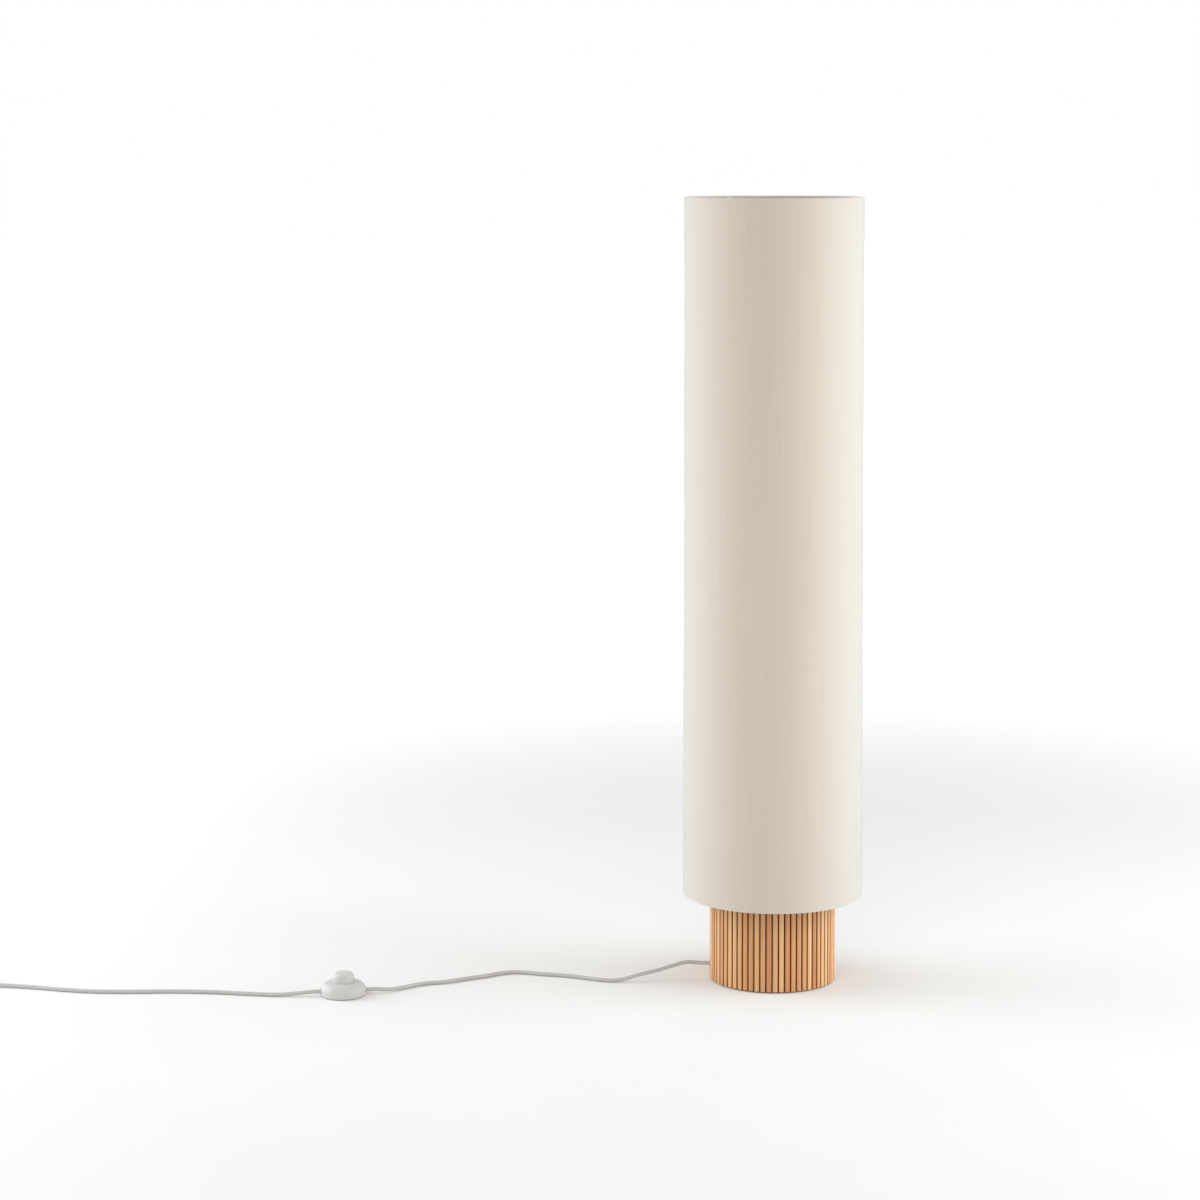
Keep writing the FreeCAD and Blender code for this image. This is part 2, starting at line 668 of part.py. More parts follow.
def make_shade():
    """Fabric rolled over two wire rings, its liner, and a spider in each end."""
    for label, height in (("bottom_ring", "bottom_ring_height"), ("top_ring", "top_ring_height")):
        wire = doc.addObject("Part::Torus", label)
        bind(wire, Radius1="ring_radius", Radius2="ring_half")
        keep(place(wire, z=height), label)

    low, high = "bottom_ring_height", "top_ring_height"
    fabric = turned(
        "shade_cloth",
        (
            ("shade_radius", low),
            ("shade_radius", high, arc("hem_half", "ring_radius", high, 1)),
            ("ring_radius", f"{high} - hem_half"),
            ("liner_inner", f"{high} - hem_half"),
            ("liner_inner", f"{high} - ring_half"),
            ("ring_radius", f"{high} - ring_half", arc("ring_half", "ring_radius", high, -1)),
            ("fabric_inner", high),
            ("fabric_inner", low, arc("ring_half", "ring_radius", low, -1)),
            ("ring_radius", f"{low} + ring_half"),
            ("liner_inner", f"{low} + ring_half"),
            ("liner_inner", f"{low} + hem_half"),
            ("ring_radius", f"{low} + hem_half", arc("hem_half", "ring_radius", low, 1)),
        ),
    )
    snips = [
        spider_arms("lower_snips", "spider_half + snip_clearance", "sleeve_top", low),
        spider_arms("upper_snips", "spider_half + snip_clearance", "pole_top", high),
    ]
    keep(cut("shade_fabric_cut", fabric, *snips), "shade_fabric")
    liner_height = f"{high} - {low} - ring_wire"
    liner = ring("liner_tube", "fabric_inner", "liner_inner", liner_height, z=f"{low} + ring_half")
    keep(liner, "shade_liner")

    make_spider("bottom_spider", "sleeve_top", low, "pole_radius + slip_clearance")
    make_spider("top_spider", "pole_top", high, "stud_radius + slip_clearance")


def spider_arms(label, wire_half, hub_foot, ring_height):
    """Straight wires from a hub out to a shade ring."""
    body = doc.addObject("PartDesign::Body", label)
    path = sketch_on(body, label + "_path", "XZ_Plane")
    hub_middle = f"{hub_foot} + spider_half"
    start = Vector(total("arm_start"), total(hub_middle), 0)
    end = Vector(total("ring_radius"), total(ring_height), 0)
    path.addGeometry(Part.LineSegment(start, end))
    pin_point(path, 0, 1, ("arm_start", hub_middle), "start")
    pin_point(path, 0, 2, ("ring_radius", ring_height), "end")
    section = body.newObject("Sketcher::SketchObject", label + "_section")
    section.AttachmentSupport = [(path, "Edge1")]
    section.MapMode = "NormalToEdge"
    section.addGeometry(Part.Circle(Vector(), Vector(0, 0, 1), total(wire_half)))
    section.addConstraint(Sketcher.Constraint("Coincident", 0, 3, -1, 1))
    number = section.addConstraint(Sketcher.Constraint("Radius", 0, total(wire_half)))
    section.renameConstraint(number, "wire")
    section.setExpression("Constraints.wire", formula(wire_half))
    doc.recompute()
    arm = body.newObject("PartDesign::AdditivePipe", label + "_pipe")
    arm.Profile = section
    arm.Spine = path
    return around(body, arm, "spider_arms")


def make_spider(label, hub_foot, ring_height, hole):
    arms = spider_arms(label + "_arms", "spider_half", hub_foot, ring_height)
    wire = doc.addObject("Part::Torus", label + "_seat")
    bind(wire, Radius1="ring_radius", Radius2="ring_half")
    place(wire, z=ring_height)
    hub = rod(label + "_washer", "hub_radius", "hub_thickness", z=hub_foot)
    joined = fuse(label + "_joined", hub, arms)
    bore = rod(label + "_bore", hole, "hub_thickness + 2 * spider_wire", z=f"{hub_foot} - spider_wire")
    keep(cut(label + "_cut", joined, wire, bore), label)


# ---- Base ----


def make_base():
    """Drum of battens with its lid, bottom plate, felt and weight."""
    keep(rod("felt", "felt_radius", "felt_thickness"), "felt_pad")

    wood_screw = ("base_screw_head_radius", "base_screw_head_depth", "base_screw_radius")
    bottom_screws = ("bottom_screw_circle", *wood_screw, "bottom_screw_length", "4")
    top_screws = ("top_screw_circle", *wood_screw, "top_screw_length", "4")
    bolts = (
        "ballast_bolt_circle",
        "bolt_head_radius",
        "bolt_head_depth",
        "bolt_radius",
        "bolt_length",
        "3",
    )
    from_below = [
        place(screws("bottom_screw_set", *bottom_screws), z="felt_thickness", turn="45"),
        place(screws("ballast_bolt_set", *bolts), z="felt_thickness"),
    ]
    from_above = heads_up(screws("top_screw_set", *top_screws), "base_height")
    keep(from_below[0], "bottom_plate_screws")
    keep(from_below[1], "ballast_bolts")
    keep(from_above, "top_plate_screws")

    plate = rod("plate_disc", "plate_radius", "bottom_plate_thickness", z="felt_thickness")
    keep(cut("plate_cut", plate, *from_below), "bottom_plate")

    grommet_hole = cord_line("grommet_hole", "grommet_radius", "grommet_face", "drum_radius")
    drum = turned(
        "drum_body",
        (
            ("drum_inner", "plate_top"),
            ("plate_radius", "plate_top"),
            ("plate_radius", "felt_thickness"),
            ("drum_radius", "felt_thickness"),
            ("drum_radius", "drum_top"),
            ("drum_inner", "drum_top"),
        ),
    )
    keep(cut("drum_cut", drum, grommet_hole, from_below[0], from_above), "base_drum")

    corner = "base_radius - batten_round"
    left, right = "-batten_half + batten_round", "batten_half - batten_round"
    batten = raised(
        "batten_body",
        (
            ("drum_radius", "-batten_half"),
            (corner, "-batten_half", arc("batten_round", corner, left, 1)),
            ("base_radius", left),
            ("base_radius", right, arc("batten_round", corner, right, 1)),
            (corner, "batten_half"),
            ("drum_radius", "batten_half"),
        ),
        "base_height - felt_thickness",
    )
    around(batten, batten.Tip, "batten_count")
    place(batten, z="felt_thickness", turn="batten_phase")
    keep(cut("batten_cut", batten, grommet_hole), "wood_battens")

    lid = rod("lid_disc", "drum_radius", "top_plate_thickness", z="drum_top")
    pole_hole = rod("lid_pole_hole", "pole_radius", "top_plate_thickness", z="drum_top")
    keep(cut("lid_cut", lid, pole_hole, from_above), "top_plate")

    weight = turned(
        "weight_body",
        (
            ("pole_radius", "plate_top"),
            ("ballast_radius", "plate_top"),
            ("ballast_radius", "ballast_top - 2"),
            ("ballast_radius - 2", "ballast_top"),
            ("boss_radius", "ballast_top"),
            ("boss_radius", "boss_top"),
            ("pole_radius", "boss_top"),
        ),
    )
    channel = box(
        "cord_channel",
        "ballast_radius - block_far",
        "channel_width",
        "ballast_thickness",
        x="-ballast_radius",
        y="-entry_shift - channel_width / 2",
        z="channel_floor",
    )
    pocket = box(
        "block_pocket",
        "block_length",
        "block_width",
        "ballast_thickness",
        x="-block_far",
        y="-block_width / 2",
        z="block_foot",
    )
    clamp_screws = clamp_screw_pair("base_clamp_pair", "ballast_top + clamp_thickness")
    keep(cut("weight_cut", weight, channel, pocket, from_below[1], clamp_screws), "ballast_weight")
    keep(clamp_screws, "base_clamp_screws")

    bar = box(
        "base_clamp_bar",
        "clamp_width",
        "clamp_span",
        "clamp_thickness",
        x="-clamp_distance - clamp_width / 2",
        y="-entry_shift - clamp_span / 2",
        z="ballast_top",
    )
    keep(cut("base_clamp_cut", bar, clamp_screws), "base_cord_clamp")


def cord_line(label, radius, reach, length):
    """Solid cylinder on the line that the cord leaves by, from some way out to the lamp's middle."""
    return rod(label, radius, length, x=f"-{reach}", y="-entry_shift", z="cord_height", along="x")


def clamp_screw_pair(label, top):
    """Two small screws down through the base's clamp bar, one each side of the cord."""
    pair = []
    for side in ("-", "+"):
        y = f"-entry_shift {side} (clamp_span - clamp_width) / 2"
        head = rod(f"{label}_head", "3", "1.6", x="-clamp_distance", y=y, z=top)
        shank = rod(f"{label}_shank", "1.6", "10", x="-clamp_distance", y=y, z=f"{top} - 10")
        pair.append(fuse(f"{label}_screw", head, shank))
    return together(label, *pair)


def make_cord_entry():
    """Bush in the drum wall, the end of the cord inside the base, and its terminal block."""
    cord_hole = cord_line("entry_cord", "cord_radius", "grommet_face", "drum_radius")
    shank = cord_line("bush_shank", "grommet_radius", "grommet_face", "grommet_face - grommet_seat + 1")
    lip = cord_line("bush_lip", "grommet_lip_radius", "grommet_seat", "grommet_lip")
    keep(cut("bush_cut", fuse("bush_joined", shank, lip), cord_hole), "cord_grommet")

    block = box(
        "block_body",
        "block_length",
        "block_width",
        "block_height",
        x="-block_far",
        y="-block_width / 2",
        z="block_foot",
    )
    keep(together("block_group", block), "terminal_block")
    lead = cord_line("lead_in_base", "cord_radius", "grommet_face", "grommet_face - block_far")
    keep(together("lead_group", lead), "base_lead")


# ---- Pole ----


def make_pole():
    """Steel tube from the bottom plate to the finial, and what is fixed on it."""
    tube_wall = ring("pole_wall_tube", "pole_radius", "pole_bore", "pole_top - plate_top", z="plate_top")
    holes = [wire_hole("base_wire_hole", "wire_hole_height", -1)]
    holes.append(wire_hole("lower_wire_hole", "lower_holder_height - 30", -1))
    holes.append(wire_hole("upper_wire_hole", "upper_holder_height - 30", 1))
    keep(cut("pole_cut", tube_wall, *holes), "pole_tube")

    middle = "base_height + sleeve_height / 2"
    sleeve_screw = set_screw("sleeve_screw", middle, "sleeve_radius - pole_radius")
    sleeve = ring("sleeve_tube", "sleeve_radius", "pole_radius", "sleeve_height", z="base_height")
    keep(cut("sleeve_cut", sleeve, sleeve_screw), "pole_sleeve")

    stud = turned(
        "stud_body",
        (
            ("0", "pole_top - stud_plug"),
            ("pole_bore", "pole_top - stud_plug"),
            ("pole_bore", "pole_top"),
            ("stud_radius", "pole_top"),
            ("stud_radius", "finial_top - finial_roof"),
            ("0", "finial_top - finial_roof"),
        ),
    )
    keep(stud, "pole_top_stud")
    nut = turned(
        "finial_body",
        (
            ("stud_radius", "hub_top"),
            ("finial_radius", "hub_top"),
            ("finial_radius", "finial_top - 3"),
            ("finial_radius - 3", "finial_top"),
            ("0", "finial_top"),
            ("0", "finial_top - finial_roof"),
            ("stud_radius", "finial_top - finial_roof"),
        ),
    )
    keep(nut, "finial_nut")
    return sleeve_screw


def wire_hole(label, height, side):
    """Hole in one side of the pole."""
    x = "-pole_diameter" if side < 0 else "0"
    return rod(label, "wire_hole / 2", "pole_diameter", x=x, z=height, along="x")


def set_screw(label, height, length):
    """Headless screw that bears on the back of the pole."""
    return rod(label, "set_screw_diameter / 2", length, y="pole_radius", z=height, along="y")


# ---- Lampholders and bulbs ----


def make_lampholder(name, side):
    """Bracket, lampholder and bulb on one side of the pole. Returns the pieces that are grouped."""
    height = f"{name}_holder_height"
    sign = "-" if side < 0 else ""
    x = f"{sign}holder_offset"
    foot = f"{height} + bracket_thickness"

    clip_screw = set_screw(f"{name}_clip_screw", f"{height} + clip_height / 2", "clip_wall")
    clip = rod(f"{name}_clip", "clip_radius", "clip_height", z=height)
    arm_x = "0" if side > 0 else "-holder_offset"
    arm = box(
        f"{name}_arm",
        "holder_offset",
        "bracket_width",
        "bracket_thickness",
        x=arm_x,
        y="-bracket_width / 2",
        z=height,
    )
    tip = rod(f"{name}_tip", "bracket_width / 2", "bracket_thickness", x=x, z=height)
    pole_hole = rod(f"{name}_pole_hole", "pole_radius", "clip_height", z=height)
    nipple_hole = rod(f"{name}_nipple_hole", "nipple_radius", "bracket_thickness", x=x, z=height)
    joined = fuse(f"{name}_bracket_joined", clip, arm, tip)
    bracket = cut(f"{name}_bracket_cut", joined, pole_hole, nipple_hole, clip_screw)
    keep(bracket, f"{name}_lampholder_bracket")

    length = "nipple_drop + bracket_thickness + nipple_grip"
    low = f"{height} - nipple_drop"
    nipple = ring(f"{name}_nipple", "nipple_radius", "nipple_bore / 2", length, x=x, z=low)
    nut = doc.addObject("Part::Prism", f"{name}_nut_hexagon")
    nut.Polygon = 6
    bind(nut, Circumradius="nut_width / 2 / cos(30)", Height="nut_thickness")
    place(nut, x=x, z=f"{height} - nut_thickness")
    nut_hole = rod(f"{name}_nut_hole", "nipple_radius", "nut_thickness", x=x, z=f"{height} - nut_thickness")
    nut = cut(f"{name}_nut", nut, nut_hole)

    holder = turned(
        f"{name}_holder_body",
        (
            ("nipple_radius", "0"),
            ("holder_foot_radius", "0"),
            ("holder_radius", "holder_taper"),
            ("holder_radius", "holder_length"),
            ("socket_radius", "holder_length"),
            ("socket_radius", "socket_floor"),
            ("0", "socket_floor"),
            ("0", "holder_chamber"),
            ("nipple_radius", "holder_chamber"),
        ),
    )
    keep(place(holder, x=x, z=foot), f"{name}_lampholder")

    cap = turned(
        f"{name}_cap_body",
        (
            ("0", "socket_floor"),
            ("cap_contact_radius", "socket_floor"),
            ("cap_contact_radius", "socket_floor + cap_contact_height"),
            ("cap_insulator_radius", "socket_floor + cap_contact_height"),
            ("cap_radius", "socket_floor + cap_skirt"),
            ("cap_radius", "glass_foot"),
            ("0", "glass_foot"),
        ),
    )
    keep(place(cap, x=x, z=foot), f"{name}_bulb_cap")
    keep(place(bulb_glass(name), x=x, z=foot), f"{name}_bulb_glass")
    return {"nipples": nipple, "nuts": nut, "screws": clip_screw}


def bulb_glass(name):
    """Hollow glass of a bulb: a ball, a tapering shoulder and a neck."""
    walls = []
    for layer, less in (("outer", ""), ("inner", " - glass_thickness")):
        ball = doc.addObject("Part::Sphere", f"{name}_{layer}_ball")
        place(bind(ball, Radius="bulb_radius" + less), z="bulb_centre")
        shoulder = doc.addObject("Part::Cone", f"{name}_{layer}_shoulder")
        bind(
            shoulder,
            Radius1="neck_radius" + less,
            Radius2="shoulder_radius" + less,
            Height="shoulder_height - neck_top",
        )
        place(shoulder, z="neck_top")
        neck = rod(f"{name}_{layer}_neck", "neck_radius" + less, "neck_length", z="glass_foot")
        walls.append(fuse(f"{name}_{layer}_glass", ball, shoulder, neck))
    return cut(f"{name}_glass", *walls)


def make_wires():
    """Pairs of wires from the terminal block up the pole and out to each lampholder."""
    entry = size("ballast_top") + 2
    hole = size("wire_hole_height")
    near = -size("block_distance")
    spread = size("lead_spread")
    chamber = size("bracket_thickness") + 0.6 * size("holder_chamber")
    starts = {
        "lower": (
            (near, entry + 3),
            (near + 6, entry + 3),
            (near + 7.5, hole - 14),
            (near + 12, hole + spread),
            (-4, hole + spread),
        ),
        "upper": (
            (near, entry),
            (near + 9, entry),
            (near + 10.5, hole - 17),
            (near + 15, hole - spread),
            (-1, hole - spread),
        ),
    }
    for name, side in (("lower", -1), ("upper", 1)):
        height = size(f"{name}_holder_height")
        offset = size("holder_offset")
        route = list(starts[name]) + [
            (side * 2.6, hole + 10),
            (side * 2.6, height - 52),
            (side * 3.2, height - 31.5),
            (side * 14, height - 28.5),
            (side * (offset - 12), height - 27),
            (side * offset, height - 18),
            (side * offset, height + chamber),
        ]
        pair = []
        for y in (-spread, spread):
            pair.append(wire_along([Vector(x, y, z) for x, z in route]))
        keep(plain(f"{name}_wire_pair", Part.makeCompound(pair)), f"{name}_lampholder_wires")


# ---- Foot switch ----


def at_switch(item):
    """Put a piece that is made about the switch's own axis in its place."""
    return place(item, x="-switch_away", y="-switch_ahead", turn="switch_turn")


def make_switch():
    """Two round shells, their feet, screws and bushes, and the push mechanism."""
    bushes, leads, wires, clamps, clamp_screws, entries = [], [], [], [], [], []
    for side in (-1, 1):
        tag = "left" if side < 0 else "right"
        bush_x = "-bush_face" if side < 0 else "switch_inner - 1"
        bush_length = "bush_face - switch_inner + 1"
        lead_x = "-bush_face" if side < 0 else "contact_block_length / 2 + 8"
        lead_length = "bush_face - contact_block_length / 2 - 8"
        bush = rod(f"{tag}_bush", "bush_diameter / 2", bush_length, bush_x, "", "switch_parting", "x")
        lead = rod(f"{tag}_lead", "cord_radius", lead_length, lead_x, "", "switch_parting", "x")
        entries.append(bush)
        bushes.append(cut(f"{tag}_bush_ring", bush, lead))
        leads.append(lead)
        wire_x = "-contact_block_length / 2 - 8" if side < 0 else "contact_block_length / 2"
        for y in ("-lead_spread", "lead_spread"):
            wires.append(rod(f"{tag}_wire", "lead_wire / 2", "8", wire_x, y, "switch_parting", "x"))
        middle = f"{'-' if side < 0 else ''}saddle_distance"
        corner = (f"{middle} - saddle_length / 2", "-saddle_width / 2", "clamp_foot")
        bar = box(f"{tag}_bar", "saddle_length", "saddle_width", "2", *corner)
        for y in ("-5", "5"):
            length = "clamp_foot - saddle_top + 3.2"
            clamp_screws.append(rod(f"{tag}_clamp_screw", "1.2", length, middle, y, "saddle_top - 1"))
        clamps.append(cut(f"{tag}_clamp", bar, *clamp_screws[-2:]))

    housing_screws = screws("housing_screw_set", "post_circle", "2.2", "1.2", "1.2", "9", "4")
    turned_screws = together("housing_screws_turned", housing_screws)
    turned_screws.Placement = Placement(Vector(), Rotation(Vector(0, 0, 1), 45))
    place(turned_screws, z="switch_feet_height")

    tray = turned(
        "tray_body",
        (
            ("0", "switch_feet_height"),
            ("switch_radius - switch_chamfer", "switch_feet_height"),
            ("switch_radius", "switch_feet_height + switch_chamfer"),
            ("switch_radius", "switch_parting"),
            ("switch_inner", "switch_parting"),
            ("switch_inner", "switch_floor"),
            ("0", "switch_floor"),
        ),
    )
    saddles = []
    for sign in ("-", ""):
        corner = (f"{sign}saddle_distance - saddle_length / 2", "-saddle_width / 2", "switch_floor")
        saddles.append(box("saddle", "saddle_length", "saddle_width", "saddle_top - switch_floor", *corner))
    tray = fuse("tray_joined", tray, *saddles)
    keep(at_switch(cut("tray_cut", tray, turned_screws, *entries, *clamp_screws)), "switch_base")

    bend = "switch_radius - switch_round"
    shell = turned(
        "shell_body",
        (
            ("switch_inner", "switch_parting"),
            ("switch_radius", "switch_parting"),
            ("switch_radius", "shoulder_foot", arc("switch_round", bend, "shoulder_foot", 1)),
            (bend, "switch_height"),
            ("button_hole", "switch_height"),
            ("button_hole", "switch_roof"),
            (bend, "switch_roof", arc("inner_round", bend, "shoulder_foot", -1)),
            ("switch_inner", "shoulder_foot"),
        ),
    )
    post_length = "shoulder_foot + inner_round * 0.8 - switch_floor"
    post = rod("post", "post_diameter / 2", post_length, x="post_circle", z="switch_floor")
    posts = []
    for quarter in range(4):
        copy = together(f"post_{quarter}", post)
        copy.Placement = Placement(Vector(), Rotation(Vector(0, 0, 1), 45 + 90 * quarter))
        posts.append(copy)
    shell = fuse("shell_joined", shell, *posts)
    keep(at_switch(cut("shell_cut", shell, turned_screws, *entries)), "switch_cover")

    shoulder = "button_radius - button_round"
    button = turned(
        "button_body",
        (
            ("0", "stem_foot"),
            ("stem_radius", "stem_foot"),
            ("stem_radius", "button_roof"),
            ("button_inner", "button_roof"),
            ("button_inner", "flange_foot"),
            ("flange_radius", "flange_foot"),
            ("flange_radius", "flange_top"),
            ("button_radius", "flange_top"),
            ("button_radius", "button_edge", arc("button_round", shoulder, "button_edge", 1)),
            ("crown_end", "crown_end_height", arc("button_crown", "0", "crown_centre", 1)),
            ("0", "button_top"),
        ),
    )
    keep(at_switch(button), "switch_button")
    spring = ring(
        "spring_sleeve",
        "spring_diameter / 2",
        "spring_diameter / 2 - spring_wire",
        "button_roof - contact_block_top",
        z="contact_block_top",
    )
    keep(at_switch(together("spring_group", spring)), "switch_spring")

    block = box(
        "contact_body",
        "contact_block_length",
        "contact_block_width",
        "contact_block_height",
        x="-contact_block_length / 2",
        y="-contact_block_width / 2",
        z="switch_floor",
    )
    stem_hole = rod("stem_hole_tool", "stem_hole", "contact_block_height", z="stem_hole_floor")
    keep(at_switch(cut("contact_cut", block, stem_hole)), "switch_contact_block")

    feet = []
    for quarter in range(4):
        foot = rod("rubber_foot", "switch_feet_diameter / 2", "switch_feet_height", x="post_circle * 0.9")
        copy = together(f"foot_{quarter}", foot)
        copy.Placement = Placement(Vector(), Rotation(Vector(0, 0, 1), 90 * quarter))
        feet.append(copy)
    groups = (
        ("switch_feet", feet),
        ("switch_bushes", bushes),
        ("switch_lead_ends", leads),
        ("switch_wires", wires),
        ("switch_cord_clamps", clamps),
        ("switch_clamp_screws", clamp_screws),
        ("switch_housing_screws", [turned_screws]),
    )
    for label, pieces in groups:
        keep(at_switch(together(label + "_group", *pieces)), label)


# ---- Plug ----


def section(body, label, half_width, half_height, flat_width, flat_height, corner, along):
    """Rounded rectangle across the plug, some way along it."""
    sketch = sketch_on(body, label, "YZ_Plane")
    sketch.setExpression("AttachmentOffset.Base.z", formula(along))
    left, low = f"-{flat_width}", f"-{flat_height}"
    corners = (
        (flat_width, f"-{half_height}", arc(corner, flat_width, low, 1)),
        (half_width, low),
        (half_width, flat_height, arc(corner, flat_width, flat_height, 1)),
        (flat_width, half_height),
        (left, half_height, arc(corner, left, flat_height, 1)),
        (f"-{half_width}", flat_height),
        (f"-{half_width}", low, arc(corner, left, low, 1)),
        (left, f"-{half_height}"),
    )
    draw_loop(sketch, corners)
    return sketch


def at_plug(item):
    """Put a piece that is made along the plug's own axis in its place."""
    end = ROUTE_TO_PLUG[-1]
    item.Placement = Placement(Vector(end[0], 0, 0), Rotation(Vector(0, 0, 1), 90))
    return place(item, y="plug_behind", z="plug_thickness / 2 + cord_clearance")


def make_plug():
    """Flat two-pin plug that lies on the floor, with a ribbed sleeve on its cord."""
    keep(at_plug(ribbed_sleeve()), "plug_strain_relief")

    body = doc.addObject("PartDesign::Body", "plug_form")
    neck = ("plug_neck_radius", "plug_neck_radius", "neck_flat", "neck_flat", "neck_corner")
    wide = ("plug_half_width", "plug_half_thickness", "plug_flat_width", "plug_flat_height", "plug_corner")
    sections = [
        section(body, "plug_back", *neck, "relief_length"),
        section(body, "plug_middle", *wide, "relief_length + plug_shoulder"),
        section(body, "plug_front", *wide, "relief_length + plug_length"),
    ]
    doc.recompute()
    loft = body.newObject("PartDesign::AdditiveLoft", "plug_loft")
    loft.Profile = sections[0]
    loft.Sections = sections[1:]
    loft.Ruled = True
    keep(at_plug(body), "plug_body")

    front = "relief_length + plug_length"
    pins = []
    for side in ("-", ""):
        y = f"{side}pin_spacing / 2"
        pin = rod("pin", "pin_radius", "pin_length - pin_radius", x=front, y=y, along="x")
        tip = doc.addObject("Part::Sphere", "pin_tip")
        bind(tip, Radius="pin_radius")
        place(tip, x=f"{front} + pin_length - pin_radius", y=y)
        pins.append(fuse("rounded_pin", pin, tip))
    keep(at_plug(together("pin_pair", *pins)), "plug_pins")


def ribbed_sleeve():
    """Tapered sleeve along the plug's axis, with grooves round it."""
    cone = doc.addObject("Part::Cone", "relief_cone")
    cone.Placement = Placement(Vector(), Rotation(Vector(0, 1, 0), 90))
    bind(cone, Radius1="relief_tip_radius", Radius2="plug_neck_radius", Height="relief_length")
    grooves = []
    for step in range(int(size("relief_ribs"))):
        x = f"relief_length * {(step + 1) / (size('relief_ribs') + 1.5):.4f}"
        outer = rod("groove_outer", "plug_neck_radius", "1.6", x=x, along="x")
        core = rod("groove_core", "relief_tip_radius - 0.4", "1.6", x=x, along="x")
        grooves.append(cut("groove", outer, core))
    return cut("relief_cut", cone, *grooves)


# ---- Cord ----


def make_cords():
    """Free stretches of the cord, and the coil that its length is put away in."""
    angle = math.radians(size("switch_turn"))
    along = Vector(math.cos(angle), math.sin(angle), 0)
    switch = Vector(-size("switch_away"), -size("switch_ahead"), size("switch_parting"))
    first_run = 17.0

    lamp_end = Vector(-size("grommet_face"), -size("entry_shift"), size("cord_height"))
    route = [lamp_end, lamp_end - Vector(first_run, 0, 0)]
    route += [Vector(*point) for point in ROUTE_TO_SWITCH]
    route += [switch + along * (size("bush_face") + first_run), switch + along * size("bush_face")]
    cord, first_length = cord_along("cord_to_switch_tube", route)
    keep(cord, "cord_to_switch")

    coil_start = coil_point(0)
    route = [switch - along * size("bush_face"), switch - along * (size("bush_face") + first_run)]
    route += [Vector(*point) for point in ROUTE_TO_COIL]
    route += [coil_start + Vector(40, 0, 0), coil_start]
    cord, length = cord_along("cord_to_coil_tube", route)
    keep(cord, "cord_to_coil")

    step = 1 / SEGMENTS_PER_TURN
    count = round(2 * COIL_LAYER_TURNS * SEGMENTS_PER_TURN)
    edges = []
    for quarter in range(count):
        begin, end = quarter * step, (quarter + 1) * step
        edges += biarc(coil_point(begin), coil_heading(begin), coil_point(end), coil_heading(end))
    solid, coil_length = tube(edges, size("cord_diameter"), coil_heading(0))
    gap = least_gap(edges, size("cord_diameter"))
    print(f"coil: {coil_length:.0f} mm, least gap {gap:.2f} mm")
    if gap < 0.4:
        raise ValueError("the coil's turns are too close")
    keep(plain("coil_tube", solid), "cord_coil")

    coil_end = coil_point(2 * COIL_LAYER_TURNS)
    sleeve_x = ROUTE_TO_PLUG[-1][0]
    sleeve_end = Vector(sleeve_x, size("plug_behind"), size("plug_thickness") / 2 + size("cord_clearance"))
    route = [coil_end, coil_end + Vector(0, first_run, 0)]
    route += [Vector(*point) for point in ROUTE_TO_PLUG]
    route.append(sleeve_end)
    cord, tail_length = cord_along("cord_to_plug_tube", route)
    keep(cord, "cord_to_plug")
    onward = length + coil_length + tail_length
    print(f"cord: {first_length:.0f} mm to the switch, {onward:.0f} mm on to the plug")


def make_tie():
    """Flat band round all the turns of the coil at one place."""
    pitch = size("cord_diameter") + size("coil_gap")
    turn = size("tie_turn")
    middle = Vector(-size("coil_away"), -size("coil_ahead"), 0)
    passes = []
    for number in range(1, 6):
        turns = (-90 - turn + 360 * number) / 360
        if 0 <= turns <= 2 * COIL_LAYER_TURNS:
            passes.append(coil_point(turns) - middle)
    reach = [Vector(point.x, point.y, 0).Length for point in passes]
    half = size("cord_radius") + size("tie_clearance")
    low, high = min(reach) - half, max(reach) + half
    floor = size("coil_lift") - size("tie_clearance")
    roof = size("coil_lift") + pitch + size("cord_diameter") + size("tie_clearance")
    wall, width = size("tie_thickness"), size("tie_width")
    inner = Part.makeBox(high - low, width, roof - floor, Vector(low, -width / 2, floor))
    corner = Vector(low - wall, -width / 2, floor - wall)
    outer = Part.makeBox(high - low + 2 * wall, width, roof - floor + 2 * wall, corner)
    long_edges = [edge for edge in outer.Edges if abs(edge.tangentAt(edge.FirstParameter).y) > 0.9]
    outer = outer.makeFillet(2 * wall, long_edges)
    long_edges = [edge for edge in inner.Edges if abs(edge.tangentAt(edge.FirstParameter).y) > 0.9]
    inner = inner.makeFillet(wall, long_edges)
    band = plain("tie_band", outer.cut(inner))
    band.Placement = Placement(middle, Rotation(Vector(0, 0, 1), turn))
    keep(band, "coil_tie")


# ---- Build, check and write ----


def build():
    make_shade()
    make_base()
    make_cord_entry()
    sleeve_screw = make_pole()
    sets = [make_lampholder("lower", -1), make_lampholder("upper", 1)]
    keep(together("nipple_pair", *[group["nipples"] for group in sets]), "lampholder_nipples")
    keep(together("nut_pair", *[group["nuts"] for group in sets]), "nipple_nuts")
    keep(together("set_screw_trio", sleeve_screw, *[group["screws"] for group in sets]), "set_screws")
    make_wires()
    make_switch()
    make_cords()
    make_tie()
    make_plug()
    doc.recompute()


def check():
    """Stop if anything failed to compute, or a sub-part has no valid solid."""
    for item in doc.Objects:
        if {"Invalid", "Error"} & set(item.State):
            raise RuntimeError(f"{item.Label} did not compute: {item.State}")
    for item in nodes:
        if item.Shape.isNull() or not item.Shape.isValid() or not item.Shape.Solids:
            raise RuntimeError(f"{item.Label} has no valid solid")


def write():
    os.makedirs("parts", exist_ok=True)
    for item in nodes:
        item.Shape.exportStep(f"parts/{item.Label}.step")
    print(f"{len(nodes)} sub-parts written")


build()
check()
write()
